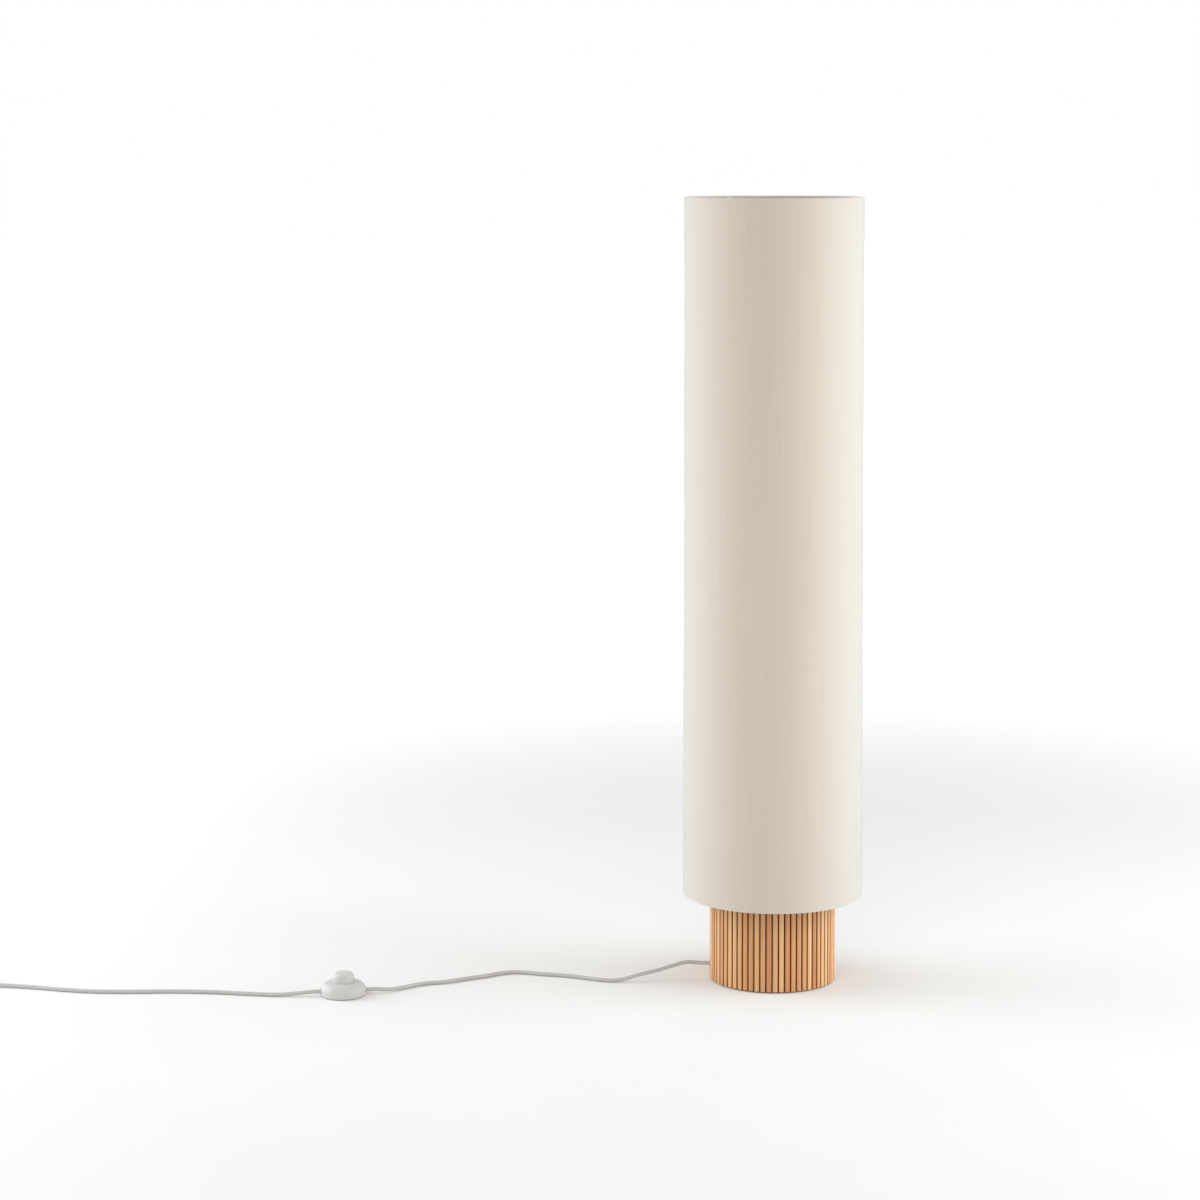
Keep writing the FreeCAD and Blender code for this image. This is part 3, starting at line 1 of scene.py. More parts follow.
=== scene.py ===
import json
import math

import bmesh
import bpy
from mathutils import Matrix, Vector


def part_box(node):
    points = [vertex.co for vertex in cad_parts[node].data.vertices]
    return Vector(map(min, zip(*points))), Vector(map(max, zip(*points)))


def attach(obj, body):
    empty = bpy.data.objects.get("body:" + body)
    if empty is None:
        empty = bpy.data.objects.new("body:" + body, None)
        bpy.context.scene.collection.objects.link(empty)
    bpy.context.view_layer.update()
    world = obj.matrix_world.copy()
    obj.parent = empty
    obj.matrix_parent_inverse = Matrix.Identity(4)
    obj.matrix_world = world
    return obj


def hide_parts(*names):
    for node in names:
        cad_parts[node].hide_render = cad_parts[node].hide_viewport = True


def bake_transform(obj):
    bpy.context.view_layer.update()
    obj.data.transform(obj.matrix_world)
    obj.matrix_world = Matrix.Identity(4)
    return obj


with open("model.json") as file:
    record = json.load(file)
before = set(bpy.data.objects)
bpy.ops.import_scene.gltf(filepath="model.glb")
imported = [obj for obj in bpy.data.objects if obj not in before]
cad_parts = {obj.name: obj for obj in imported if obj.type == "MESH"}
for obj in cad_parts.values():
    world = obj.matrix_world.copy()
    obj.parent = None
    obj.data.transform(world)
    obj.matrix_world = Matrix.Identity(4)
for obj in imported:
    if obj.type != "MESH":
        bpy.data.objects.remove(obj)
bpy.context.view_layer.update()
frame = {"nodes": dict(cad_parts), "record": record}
NODES = frame["nodes"]

# Camera, fitted to the photograph
PHOTO_PIXELS = 1200
FOCAL_PIXELS = 3077.95
OPTICAL_ROW = 305.97
SENSOR = 36.0
CAMERA_PLACE = (-0.27033, -4.77668, 1.2943)
CAMERA_DIP = 0.05

# Cord: the same points as the part's own routes
CORD_DIAMETER = 0.006
CORD_SECTION_STEPS = 5
CORD_CURVE_STEPS = 8
CORD_EXIT = Vector((-0.0989, -0.004074, 0.0235))
FIRST_RUN = 0.017
SWITCH_PLACE = Vector((-0.665, -0.1035, 0.0072))
SWITCH_MIDDLE = Vector((SWITCH_PLACE.x, SWITCH_PLACE.y, 0.0))
SWITCH_TURN = math.radians(10)
SWITCH_REACH = 0.0355
ROUTE_TO_SWITCH = (
    (-0.1350, -0.0058, 0.0260),
    (-0.1580, -0.0112, 0.0206),
    (-0.1840, -0.0185, 0.0142),
    (-0.2110, -0.0270, 0.0108),
    (-0.2390, -0.0325, 0.0032),
    (-0.2680, -0.0310, 0.0032),
    (-0.2980, -0.0135, 0.0032),
    (-0.3340, 0.0000, 0.0032),
    (-0.3660, 0.0060, 0.0032),
    (-0.3940, 0.0180, 0.0032),
    (-0.4210, 0.0150, 0.0032),
    (-0.4480, -0.0050, 0.0032),
    (-0.4780, -0.0200, 0.0032),
    (-0.5120, -0.0420, 0.0032),
    (-0.5470, -0.0490, 0.0032),
    (-0.5770, -0.0750, 0.0032),
    (-0.5970, -0.0900, 0.0046),
)
ROUTE_TO_COIL = (
    (-0.7390, -0.1140, 0.0049),
    (-0.7640, -0.1145, 0.0032),
    (-0.8000, -0.1100, 0.0032),
    (-0.8460, -0.1010, 0.0032),
    (-0.8950, -0.0950, 0.0032),
    (-0.9450, -0.0940, 0.0032),
    (-0.9960, -0.0970, 0.0032),
    (-1.0460, -0.0960, 0.0032),
    (-1.0940, -0.0870, 0.0032),
    (-1.1420, -0.0720, 0.0032),
    (-1.1880, -0.0620, 0.0036),
)
ROUTE_TO_PLUG = (
    (-1.3130, 0.0130, 0.0092),
    (-1.3138, 0.0290, 0.0073),
)
COIL_PLACE = Vector((-1.272, -0.020, 0.0))
COIL_RADIUS = 0.033
COIL_PITCH = 0.0066
COIL_FOOT = 0.0043
COIL_LAYER_TURNS = 2.125
COIL_POINTS = 16
RUN_INTO_COIL = 0.040
PLUG_END = (-1.3138, 0.048, 0.007)

# Base
BATTENS = 64
GROOVE_TURN = 2.385
BATTEN_HALF = 0.0041
BATTEN_ROUND = 0.0022
BATTEN_ROUND_STEPS = 7
BATTEN_EDGE = 0.0004
DRUM_RADIUS = 0.0898
BASE_RADIUS = 0.0979
CORD_HOLE_RADIUS = 0.0052
CORD_HOLE_DEPTH = 0.03

# Wood of the battens: a made-up tone and stretch of grain for each, and painted shade in the
# grooves between them
TONE_STEP = 0.618
TONE_SWAY = 0.37
TONE_BEAT = 2.3
GRAIN_SHIFT_ACROSS = 0.731
GRAIN_SHIFT_UP = 0.413
END_GRAIN_SQUEEZE = 0.2
# Painted shade in the grooves: depths below the batten fronts where it starts and where it is full
GROOVE_SHADE_FROM = 0.0001
GROOVE_SHADE_TO = 0.0016

# Push button of the foot switch
BUTTON_RADIUS = 0.017
BUTTON_INNER = 0.014
BUTTON_TOP = 0.0372
BUTTON_CROWN = 0.045
BUTTON_ROUND = 0.008
BUTTON_ROOF = 0.02766
FLANGE_RADIUS = 0.019
FLANGE_TOP = 0.0185
FLANGE_FOOT = 0.0167
STEM_RADIUS = 0.003
STEM_FOOT = 0.0097
DOME_STEPS = 12
BUTTON_SEGMENTS = 96
SPRING_FOOT = 0.0112
SPRING_RADIUS = 0.0049
SPRING_WIRE = 0.0012
SPRING_TURNS = 7
SPRING_STEPS = 24
SPRING_SIDES = 10

# Shade
SHADE_RADIUS = 0.140
SHADE_STEPS = 180
RING_HALF = 0.002
FABRIC = 0.0008
LINER = 0.0005
HEM_WRAP = math.radians(270)
HEM_STEPS = 10
SEAM_AT = math.pi / 2
SEAM_LAP = 0.012
SEAM_RISE = 0.0004
# The lap's two slopes and the free space beside them, as angles
SEAM_STEEP = 0.0015
SEAM_SLOPE = 0.012
SEAM_CLEAR = 0.004

# Weave of the shade
THREAD = 0.0009
THREAD_WAVER = 5.0
SHEEN = 1.0
SHEEN_TINT = (0.90, 0.97, 1.0)

# Screen colours, 0 to 255
LINEN = (213, 199, 184)
CORD_GREY = (194, 192, 190)
SWITCH_GREY = (206, 204, 202)
# Colour of the painted shade in the grooves between battens
GROOVE_SHADE = (120, 60, 26)
PORE_BROWN = (160, 100, 60)
BATTEN_TONES = (
    (0.0, (206, 140, 92)),
    (0.3, (226, 170, 114)),
    (0.55, (242, 196, 142)),
    (0.8, (216, 152, 102)),
    (1.0, (246, 200, 148)),
)

# Floor, surround and lights
FLOOR_HALF = 40.0
FLOOR_TONES = ((0.3, (0.90, 0.885, 0.877)), (0.7, (0.91, 0.895, 0.887)))
FLOOR_NEAR_GLOW = 0.03
GLOW_FROM = 1.1
GLOW_FULL = 4.5
WORLD_LEVEL = 0.60
ROOM_TINT = (1.0, 0.968, 0.935)
WINDOW_TINT = (0.84, 0.95, 1.0)
LIGHTS = (
    ("right_window", (2.6, -0.4, 1.05), 2.6, 71.0, WINDOW_TINT),
    ("left_window", (-2.8, 0.4, 1.05), 2.4, 60.0, WINDOW_TINT),
    ("front_fill", (-0.6, -3.6, 3.0), 2.2, 23.0, ROOM_TINT),
)
LIGHT_TARGET = Vector((0.0, 0.0, 0.55))


# ---- Objects ----


def add_object(name, data, body="lamp"):
    item = bpy.data.objects.new(name, data)
    bpy.context.scene.collection.objects.link(item)
    if body:
        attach(item, body)
    return item


def mesh_object(name, form, body="lamp", smooth_under=math.radians(35)):
    """Object from a bmesh, smooth except at edges sharper than an angle."""
    bmesh.ops.recalc_face_normals(form, faces=form.faces)
    for face in form.faces:
        face.smooth = True
    for edge in form.edges:
        sharp = len(edge.link_faces) != 2 or edge.calc_face_angle() > smooth_under
        edge.smooth = not sharp
    mesh = bpy.data.meshes.new(name)
    form.to_mesh(mesh)
    form.free()
    return add_object(name, mesh, body)


def dress(item, material):
    """Give an object one material all over."""
    item.data.materials.clear()
    item.data.materials.append(material)
    return item


def drill(item, place, radius, depth):
    """Cut a round hole along X through an object, at a place."""
    form = bmesh.new()
    bmesh.ops.create_cone(
        form, cap_ends=True, segments=48, radius1=radius, radius2=radius, depth=2 * depth
    )
    mesh = bpy.data.meshes.new("drill")
    form.to_mesh(mesh)
    form.free()
    tool = add_object("drill", mesh, body=None)
    tool.rotation_euler = (0.0, math.pi / 2, 0.0)
    tool.location = place
    cut = item.modifiers.new("hole", "BOOLEAN")
    cut.operation = "DIFFERENCE"
    cut.solver = "EXACT"
    cut.object = tool
    bpy.context.view_layer.update()
    graph = bpy.context.evaluated_depsgraph_get()
    item.data = bpy.data.meshes.new_from_object(item.evaluated_get(graph))
    item.modifiers.clear()
    bpy.data.objects.remove(tool)


# ---- Outlines and faces ----


def upward(height):
    return Vector((0.0, 0.0, height))


def arc(middle, radius, start, end, steps):
    """Points along an arc about a point, from one angle to another."""
    turns = [start + (end - start) * step / steps for step in range(steps + 1)]
    return [
        (middle[0] + radius * math.cos(turn), middle[1] + radius * math.sin(turn)) for turn in turns
    ]


def distances(outline):
    """Distance travelled to each point of a closed outline, and all the way round."""
    travel = [0.0]
    for one, two in zip(outline, outline[1:] + outline[:1]):
        travel.append(travel[-1] + math.dist(one, two))
    return travel


def add_face(form, corners, layer, places):
    """Face with a place on the material for each corner."""
    face = form.faces.new(corners)
    for loop, place in zip(face.loops, places):
        loop[layer].uv = place
    return face


def lathe(outline, middle, segments):
    """Mesh turned about an upright axis, from a half-section that starts and ends on the axis."""
    form = bmesh.new()
    rings = []
    for radius, height in outline:
        count = segments if radius else 1
        ring = []
        for step in range(count):
            turn = 2 * math.pi * step / count
            spoke = Vector((radius * math.cos(turn), radius * math.sin(turn), height))
            ring.append(form.verts.new(middle + spoke))
        rings.append(ring)
    for low, high in zip(rings, rings[1:]):
        for step in range(segments):
            after = (step + 1) % segments
            corners = [low[step % len(low)], low[after % len(low)]]
            corners += [high[after % len(high)], high[step % len(high)]]
            form.faces.new(dict.fromkeys(corners))
    return form


# ---- Nodes ----


class NodeTree:
    """A node tree, with short calls to add to it."""

    def __init__(self, tree):
        self.tree = tree

    def add(self, kind, sockets=None, **settings):
        item = self.tree.nodes.new("ShaderNode" + kind)
        for key, value in settings.items():
            setattr(item, key, value)
        for key, value in (sockets or {}).items():
            self.set(item, key, value)
        return item

    def set(self, item, key, value):
        if isinstance(value, bpy.types.NodeSocket):
            self.tree.links.new(value, item.inputs[key])
        else:
            item.inputs[key].default_value = value

    def math(self, operation, *values):
        return self.add("Math", dict(enumerate(values)), operation=operation).outputs[0]

    def seen(self):
        """1 for rays that the camera sends, also by way of a mirror or glass, and 0 for others."""
        rays = self.add("LightPath").outputs
        direct = self.math("MAXIMUM", rays["Is Camera Ray"], rays["Is Glossy Ray"])
        return self.math("MAXIMUM", direct, rays["Is Transmission Ray"])


class Shader(NodeTree):
    """A material with a principled surface, placed by the object's own axes."""

    def __init__(self, name):
        self.material = bpy.data.materials.new(name)
        self.material.use_nodes = True
        super().__init__(self.material.node_tree)
        self.surface = self.tree.nodes["Principled BSDF"]
        self.place = self.add("TexCoord").outputs["Object"]

    def finish(self, **sockets):
        for key, value in sockets.items():
            self.set(self.surface, key.replace("_", " "), value)
        return self.material

    def stretch(self, scale, place=None):
        mapping = self.add("Mapping", {"Vector": place or self.place, "Scale": scale})
        return mapping.outputs[0]

    def noise(self, scale, detail=3.0, roughness=0.5, place=None):
        sockets = {
            "Vector": place or self.place,
            "Scale": scale,
            "Detail": detail,
            "Roughness": roughness,
        }
        return self.add("TexNoise", sockets).outputs["Fac"]

    def threads(self, across, scale, detail, roughness=0.5):
        """Noise drawn out over a flat layout, with a scale for each way."""
        place = self.stretch((*scale, 1.0), across)
        return self.noise(1.0, detail=detail, roughness=roughness, place=place)

    def between(self, factor, low, high):
        """Number that goes from one value to another as a factor goes from 0 to 1."""
        return self.add("MapRange", {"Value": factor, "To Min": low, "To Max": high}).outputs[0]

    def ramp(self, factor, *stops):
        """Colour that changes with a factor, from (position, colour) stops."""
        item = self.add("ValToRGB", {"Fac": factor})
        elements = item.color_ramp.elements
        while len(elements) < len(stops):
            elements.new(0.5)
        for element, (position, colour) in zip(elements, stops):
            element.position = position
            element.color = (*colour, 1.0)
        return item.outputs["Color"]

    def mask(self, factor, start, end, most):
        """Grey that goes from black to a level as a factor goes between two values."""
        return self.ramp(factor, (start, (0.0, 0.0, 0.0)), (end, (most, most, most)))

    def mix(self, factor, first, second, blend="MIX"):
        item = self.add("Mix", data_type="RGBA", blend_type=blend)
        self.set(item, "Factor", factor)
        for socket, value in ((item.inputs[6], first), (item.inputs[7], second)):
            if isinstance(value, bpy.types.NodeSocket):
                self.tree.links.new(value, socket)
            else:
                socket.default_value = (*value, 1.0)
        return item.outputs[2]

    def bump(self, height, strength, distance):
        sockets = {"Height": height, "Strength": strength, "Distance": distance}
        return self.add("Bump", sockets).outputs[0]


def linear(red, green, blue):
    """A screen colour, 0 to 255, as the scene's own linear colour."""
    return tuple(
        part / 12.92 if part <= 0.04045 else ((part + 0.055) / 1.055) ** 2.4
        for part in (red / 255, green / 255, blue / 255)
    )


def shade_of(colour, factor):
    return tuple(part * factor for part in colour)


# ---- Materials ----


def moulded(name, colour, roughness=0.45, grain=2600.0, depth=0.00003):
    """Moulded plastic or rubber with a fine spark-eroded grain and faint mottling."""
    look = Shader(name)
    cloud = look.noise(45.0)
    pits = look.noise(grain, detail=2.0)
    tint = look.ramp(cloud, (0.35, shade_of(colour, 0.965)), (0.65, shade_of(colour, 1.02)))
    rough = look.between(look.noise(160.0), roughness - 0.06, roughness + 0.08)
    normal = look.bump(pits, 0.35, depth)
    return look.finish(Base_Color=tint, Roughness=rough, Normal=normal)


def painted(name, colour, roughness=0.38):
    """Powder-coated steel: even colour with fine orange peel."""
    look = Shader(name)
    tint = look.ramp(look.noise(30.0), (0.3, shade_of(colour, 0.95)), (0.7, colour))
    rough = look.between(look.noise(220.0), roughness - 0.07, roughness + 0.07)
    normal = look.bump(look.noise(900.0, detail=1.0), 0.25, 0.0001)
    return look.finish(Base_Color=tint, Roughness=rough, Normal=normal)


def bare_metal(name, colour, roughness=0.32):
    """Turned or drawn metal with fine lines round it and light staining."""
    look = Shader(name)
    lines = look.noise(1.0, detail=2.0, place=look.stretch((300.0, 300.0, 5200.0)))
    tint = look.ramp(look.noise(120.0), (0.3, shade_of(colour, 0.82)), (0.7, colour))
    rough = look.between(lines, roughness - 0.1, roughness + 0.14)
    normal = look.bump(lines, 0.3, 0.00004)
    return look.finish(Base_Color=tint, Roughness=rough, Metallic=1.0, Normal=normal)


def cast(name, colour):
    """Sand-cast iron."""
    look = Shader(name)
    lumps = look.noise(260.0, detail=6.0, roughness=0.65)
    tint = look.ramp(look.noise(40.0), (0.3, shade_of(colour, 0.7)), (0.7, colour))
    normal = look.bump(lumps, 0.7, 0.0006)
    return look.finish(Base_Color=tint, Roughness=0.72, Metallic=0.6, Normal=normal)


def felt(name, colour):
    """Pressed wool felt."""
    look = Shader(name)
    fibres = look.noise(900.0, detail=8.0, roughness=0.7)
    tint = look.ramp(fibres, (0.35, shade_of(colour, 0.7)), (0.65, shade_of(colour, 1.25)))
    normal = look.bump(fibres, 0.9, 0.0005)
    return look.finish(Base_Color=tint, Roughness=0.95, Normal=normal, Sheen_Weight=0.4)


def sanded_wood(name, colour):
    """Plain inner wood with grain along +Z."""
    look = Shader(name)
    streaks = look.noise(1.0, detail=5.0, place=look.stretch((140.0, 140.0, 9.0)))
    pores = look.noise(1.0, detail=2.0, place=look.stretch((1500.0, 1500.0, 60.0)))
    tint = look.ramp(streaks, (0.3, shade_of(colour, 0.72)), (0.72, shade_of(colour, 1.08)))
    normal = look.bump(pores, 0.3, 0.0002)
    return look.finish(Base_Color=tint, Roughness=0.62, Normal=normal)


def frosted_glass(name):
    """Opal glass of a bulb."""
    look = Shader(name)
    cloud = look.noise(70.0)
    tint = look.ramp(cloud, (0.3, (0.86, 0.85, 0.82)), (0.7, (0.93, 0.925, 0.9)))
    rough = look.between(look.noise(500.0), 0.16, 0.26)
    return look.finish(Base_Color=tint, Roughness=rough, Transmission_Weight=0.25, IOR=1.45)


def woven(name, colour, hollow_shade_tint):
    """Plain linen weave: fine crossed threads, painted shade between them, uneven yarns and a pale
    fuzz at grazing angles.
    """
    look = Shader(name)
    across = look.add("UVMap", uv_map="weave").outputs["UV"]
    warp_waver = look.threads(across, (260.0, 22.0), 2.0)
    weft_waver = look.threads(across, (22.0, 260.0), 2.0)
    split = look.add("SeparateXYZ", {"Vector": across})
    waves = []
    for axis, waver in (("X", warp_waver), ("Y", weft_waver)):
        turns = look.math("MULTIPLY", split.outputs[axis], 2 * math.pi / THREAD)
        turns = look.math("ADD", turns, look.math("MULTIPLY", waver, THREAD_WAVER))
        waves.append(look.math("SINE", turns))
    weave = look.math("MULTIPLY", *waves)
    warp_yarn = look.threads(across, (1350.0, 9.0), 4.0, 0.6)
    weft_yarn = look.threads(across, (16.0, 1500.0), 4.0, 0.6)
    warp_half = look.math("MULTIPLY", warp_yarn, 0.5)
    yarns = look.math("ADD", warp_half, look.math("MULTIPLY", weft_yarn, 0.5))
    cloud = look.noise(5.0, detail=2.0)
    tint = look.ramp(yarns, (0.34, shade_of(colour, 0.93)), (0.66, shade_of(colour, 1.05)))
    streaks = look.mask(look.threads(across, (210.0, 1.6), 3.0, 0.6), 0.36, 0.64, 0.5)
    tint = look.mix(streaks, tint, shade_of(colour, 0.92))
    # Painted shade: darker where the weave dips between the threads
    tint = look.mix(look.between(weave, 0.05, 0.0), tint, hollow_shade_tint)
    tint = look.mix(look.between(cloud, 0.0, 0.18), tint, shade_of(colour, 0.96))
    height = look.math("ADD", look.math("MULTIPLY", weave, 0.35), yarns)
    normal = look.bump(height, 0.35, 0.00025)
    return look.finish(
        Base_Color=tint,
        Roughness=0.88,
        Normal=normal,
        Sheen_Weight=SHEEN,
        Sheen_Roughness=0.55,
        Sheen_Tint=(*SHEEN_TINT, 1.0),
    )


def batten_wood(name):
    """Oiled pale hardwood: a tone for each batten, upright grain, fine pores and painted shade in
    the grooves.
    """
    look = Shader(name)
    face = look.add("UVMap", uv_map="grain").outputs["UV"]
    tone = look.add("Attribute", attribute_name="tone").outputs["Fac"]
    figure = look.threads(face, (420.0, 11.0), 4.0, 0.55)
    fine = look.threads(face, (2600.0, 42.0), 3.0)
    pores = look.threads(face, (3800.0, 260.0), 1.0)
    tint = look.ramp(tone, *[(stop, linear(*colour)) for stop, colour in BATTEN_TONES])
    dark = look.mix(1.0, tint, (0.80, 0.70, 0.60), "MULTIPLY")
    tint = look.mix(look.mask(figure, 0.42, 0.75, 0.8), tint, dark)
    tint = look.mix(look.between(fine, 0.0, 0.3), tint, dark)
    tint = look.mix(look.mask(pores, 0.68, 0.76, 0.7), tint, linear(*PORE_BROWN))
    flat_place = look.add("VectorMath", {0: look.place, 1: (1.0, 1.0, 0.0)}, operation="MULTIPLY")
    out = look.add("VectorMath", {0: flat_place.outputs[0]}, operation="LENGTH").outputs["Value"]
    # Painted shade: the batten flanks take the groove colour towards the drum, where the grooves
    # lie in shade
    groove_shade_range = {
        "Value": out,
        "From Min": BASE_RADIUS - GROOVE_SHADE_TO,
        "From Max": BASE_RADIUS - GROOVE_SHADE_FROM,
    }
    tint = look.mix(look.add("MapRange", groove_shade_range).outputs[0], linear(*GROOVE_SHADE), tint)
    rough = look.between(fine, 0.42, 0.6)
    normal = look.bump(fine, 0.25, 0.00025)
    return look.finish(Base_Color=tint, Roughness=rough, Normal=normal)


def make_materials():
    linen = linear(*LINEN)
    return {
        # The last colour is the painted shade for the hollows of the weave
        "shade_fabric": woven("pale_linen", linen, shade_of(linen, 0.8)),
        "shade_liner": moulded("liner_film", linear(238, 235, 228), 0.4, 900.0),
        "white_steel": painted("white_steel", linear(232, 232, 229)),
        "finial": painted("white_nut", linear(232, 232, 229)),
        "bare_steel": bare_metal("bare_steel", linear(190, 190, 192)),
        "oiled_wood": batten_wood("oiled_wood"),
        "plain_wood": sanded_wood("plain_wood", linear(214, 184, 148)),
        "black_steel": painted("black_steel", linear(58, 57, 56), 0.5),
        "iron": cast("cast_iron", linear(74, 74, 76)),
        "felt": felt("dark_felt", linear(72, 69, 66)),
        "grommet": moulded("soft_grey_rubber", linear(198, 196, 193), 0.6),
        "holder_plastic": moulded("white_holder", linear(228, 228, 224), 0.4),
        "cap_metal": bare_metal("bulb_cap_metal", linear(205, 203, 198), 0.3),
        "bulb_glass": frosted_glass("opal_glass"),
        "wire_insulation": moulded("wire_insulation", linear(150, 108, 72), 0.45),
        "cord": moulded("cord_plastic", linear(*CORD_GREY), 0.42, 1800.0, 0.00002),
        "switch_shell": moulded("switch_plastic", linear(*SWITCH_GREY), 0.4),
        "tie": moulded("tie_strap", linear(222, 220, 217), 0.5),
        "pins": bare_metal("pin_metal", linear(200, 198, 192), 0.22),
    }


# ---- Camera and cord ----


def make_camera():
    data = bpy.data.cameras.new("camera")
    data.sensor_width = SENSOR
    data.lens = FOCAL_PIXELS / PHOTO_PIXELS * SENSOR
    data.shift_y = (OPTICAL_ROW - PHOTO_PIXELS / 2) / PHOTO_PIXELS
    data.clip_start, data.clip_end = 0.1, 100.0
    camera = add_object("camera", data, body=None)
    camera.location = CAMERA_PLACE
    camera.rotation_euler = (math.pi / 2 - CAMERA_DIP, 0.0, 0.0)
    bpy.context.scene.camera = camera


def smooth_cord(name, points, *nodes):
    """Round cord on one smooth spline, in place of the CAD nodes along it."""
    data = bpy.data.curves.new(name, "CURVE")
    data.dimensions = "3D"
    data.bevel_depth = 1.0
    data.bevel_resolution = CORD_SECTION_STEPS
    data.resolution_u = CORD_CURVE_STEPS
    data.use_fill_caps = True
    spline = data.splines.new("NURBS")
    spline.points.add(len(points) - 1)
    for control, point in zip(spline.points, points):
        control.co = (*point, 1.0)
        control.radius = CORD_DIAMETER / 2
    spline.use_endpoint_u = True
    spline.order_u = 3
    item = add_object(name, data)
    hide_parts(*nodes)
    return item


def coil_points():
    """Control points of the coil: in along the lower layer, up, and out along the upper one."""
    inner = COIL_RADIUS - COIL_PITCH * COIL_LAYER_TURNS / 2
    spread = 1 / math.cos(math.pi / COIL_POINTS)
    points = []
    for step in range(round(2 * COIL_LAYER_TURNS * COIL_POINTS)):
        turns = (step + 0.5) / COIL_POINTS
        radius = (inner + COIL_PITCH * abs(turns - COIL_LAYER_TURNS)) * spread
        climb = min(max((turns - COIL_LAYER_TURNS) * 2 + 0.5, 0.0), 1.0)
        height = COIL_FOOT + COIL_PITCH * climb * climb * (3 - 2 * climb)
        angle = math.radians(-90 - 360 * turns)
        spoke = Vector((radius * math.cos(angle), radius * math.sin(angle), height))
        points.append(COIL_PLACE + spoke)
    return points


def make_cords(materials):
    along = Vector((math.cos(SWITCH_TURN), math.sin(SWITCH_TURN), 0.0))
    near, far = SWITCH_PLACE + along * SWITCH_REACH, SWITCH_PLACE - along * SWITCH_REACH
    to_switch = [CORD_EXIT, CORD_EXIT - Vector((FIRST_RUN, 0.0, 0.0))]
    to_switch += ROUTE_TO_SWITCH
    to_switch += [near + along * FIRST_RUN, near]
    first = smooth_cord("lamp_cord", to_switch, "cord_to_switch")

    outer = COIL_RADIUS + COIL_PITCH * COIL_LAYER_TURNS / 2
    coil_start = COIL_PLACE + Vector((0.0, -outer, COIL_FOOT))
    coil_end = COIL_PLACE + Vector((-outer, 0.0, COIL_FOOT + COIL_PITCH))
    to_plug = [far, far - along * FIRST_RUN]
    to_plug += ROUTE_TO_COIL
    to_plug.append(coil_start + Vector((RUN_INTO_COIL, 0.0, 0.0)))
    to_plug += coil_points()
    to_plug.append(coil_end + Vector((0.0, FIRST_RUN, 0.0)))
    to_plug += ROUTE_TO_PLUG
    to_plug.append(PLUG_END)
    second = smooth_cord("plug_cord", to_plug, "cord_to_coil", "cord_coil", "cord_to_plug")

    for cord in (first, second):
        dress(cord, materials["cord"])


# ---- Shade ----


def shade_outline(low, high):
    """Half-section of the fabric as (radius, height), hems rolled over both rings."""
    ring_radius = SHADE_RADIUS - FABRIC - RING_HALF
    tuck = SHADE_RADIUS - FABRIC - LINER
    over = RING_HALF + FABRIC
    outline = []
    for height, sign in ((high - over, 1), (low + over, -1)):
        ring, wrap = (ring_radius, height), sign * HEM_WRAP
        rows = [
            *arc(ring, over, 0.0, wrap, HEM_STEPS),
            (tuck, height - sign * over),
            (tuck, height - sign * RING_HALF),
            *arc(ring, RING_HALF, wrap, 0.0, HEM_STEPS),
        ]
        outline += rows if sign > 0 else rows[::-1]
    return outline


def shade_turns():
    """(angle, rise) round the shade: the outside is lifted where the lap lies under it."""
    half_lap = SEAM_LAP / SHADE_RADIUS / 2
    start, end = SEAM_AT - half_lap, SEAM_AT + half_lap
    around = [2 * math.pi * step / SHADE_STEPS for step in range(SHADE_STEPS)]
    plain = [angle for angle in around if not start - SEAM_CLEAR < angle < end + SEAM_CLEAR]
    level = [(angle, 0.0) for angle in plain + [start, end]]
    lifted = [(start + SEAM_STEEP, SEAM_RISE), (end - SEAM_SLOPE, SEAM_RISE)]
    return sorted(level + lifted)


def make_shade(materials):
    """One length of linen round the rings, lapped and glued down the back."""
    low_corner, high_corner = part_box("shade_fabric")
    low, high = low_corner.z, high_corner.z
    outline = shade_outline(low, high)
    travel = distances(outline)
    outside_from = SHADE_RADIUS - FABRIC / 2
    turns = shade_turns()
    form = bmesh.new()
    weave = form.loops.layers.uv.new("weave")
    rows = []
    for angle, rise in turns:
        row = []
        for across, height in outline:
            out = across + (rise if across > outside_from else 0.0)
            row.append(form.verts.new((out * math.cos(angle), out * math.sin(angle), height)))
        rows.append(row)
    for number, (angle, _) in enumerate(turns):
        after = (number + 1) % len(turns)
        next_angle = turns[after][0] + (2 * math.pi if after == 0 else 0.0)
        left, right = angle * SHADE_RADIUS, next_angle * SHADE_RADIUS
        here, there = rows[number], rows[after]
        for step in range(len(outline)):
            up = (step + 1) % len(outline)
            corners = (here[step], there[step], there[up], here[up])
            low_side, high_side = travel[step], travel[step + 1]
            places = ((left, low_side), (right, low_side), (right, high_side), (left, high_side))
            add_face(form, corners, weave, places)
    fabric = mesh_object("linen_shade", form)
    dress(fabric, materials["shade_fabric"])
    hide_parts("shade_fabric")


# ---- Base ----


def batten_outline(inset):
    """Section of one batten as (outward, across) points from the drum's face."""
    half, round_off = BATTEN_HALF - inset, BATTEN_ROUND - inset
    front, side = BASE_RADIUS - inset - round_off, half - round_off
    quarter = math.pi / 2
    return [
        (DRUM_RADIUS, -half),
        *arc((front, -side), round_off, -quarter, 0.0, BATTEN_ROUND_STEPS),
        *arc((front, side), round_off, 0.0, quarter, BATTEN_ROUND_STEPS),
        (DRUM_RADIUS, half),
    ]


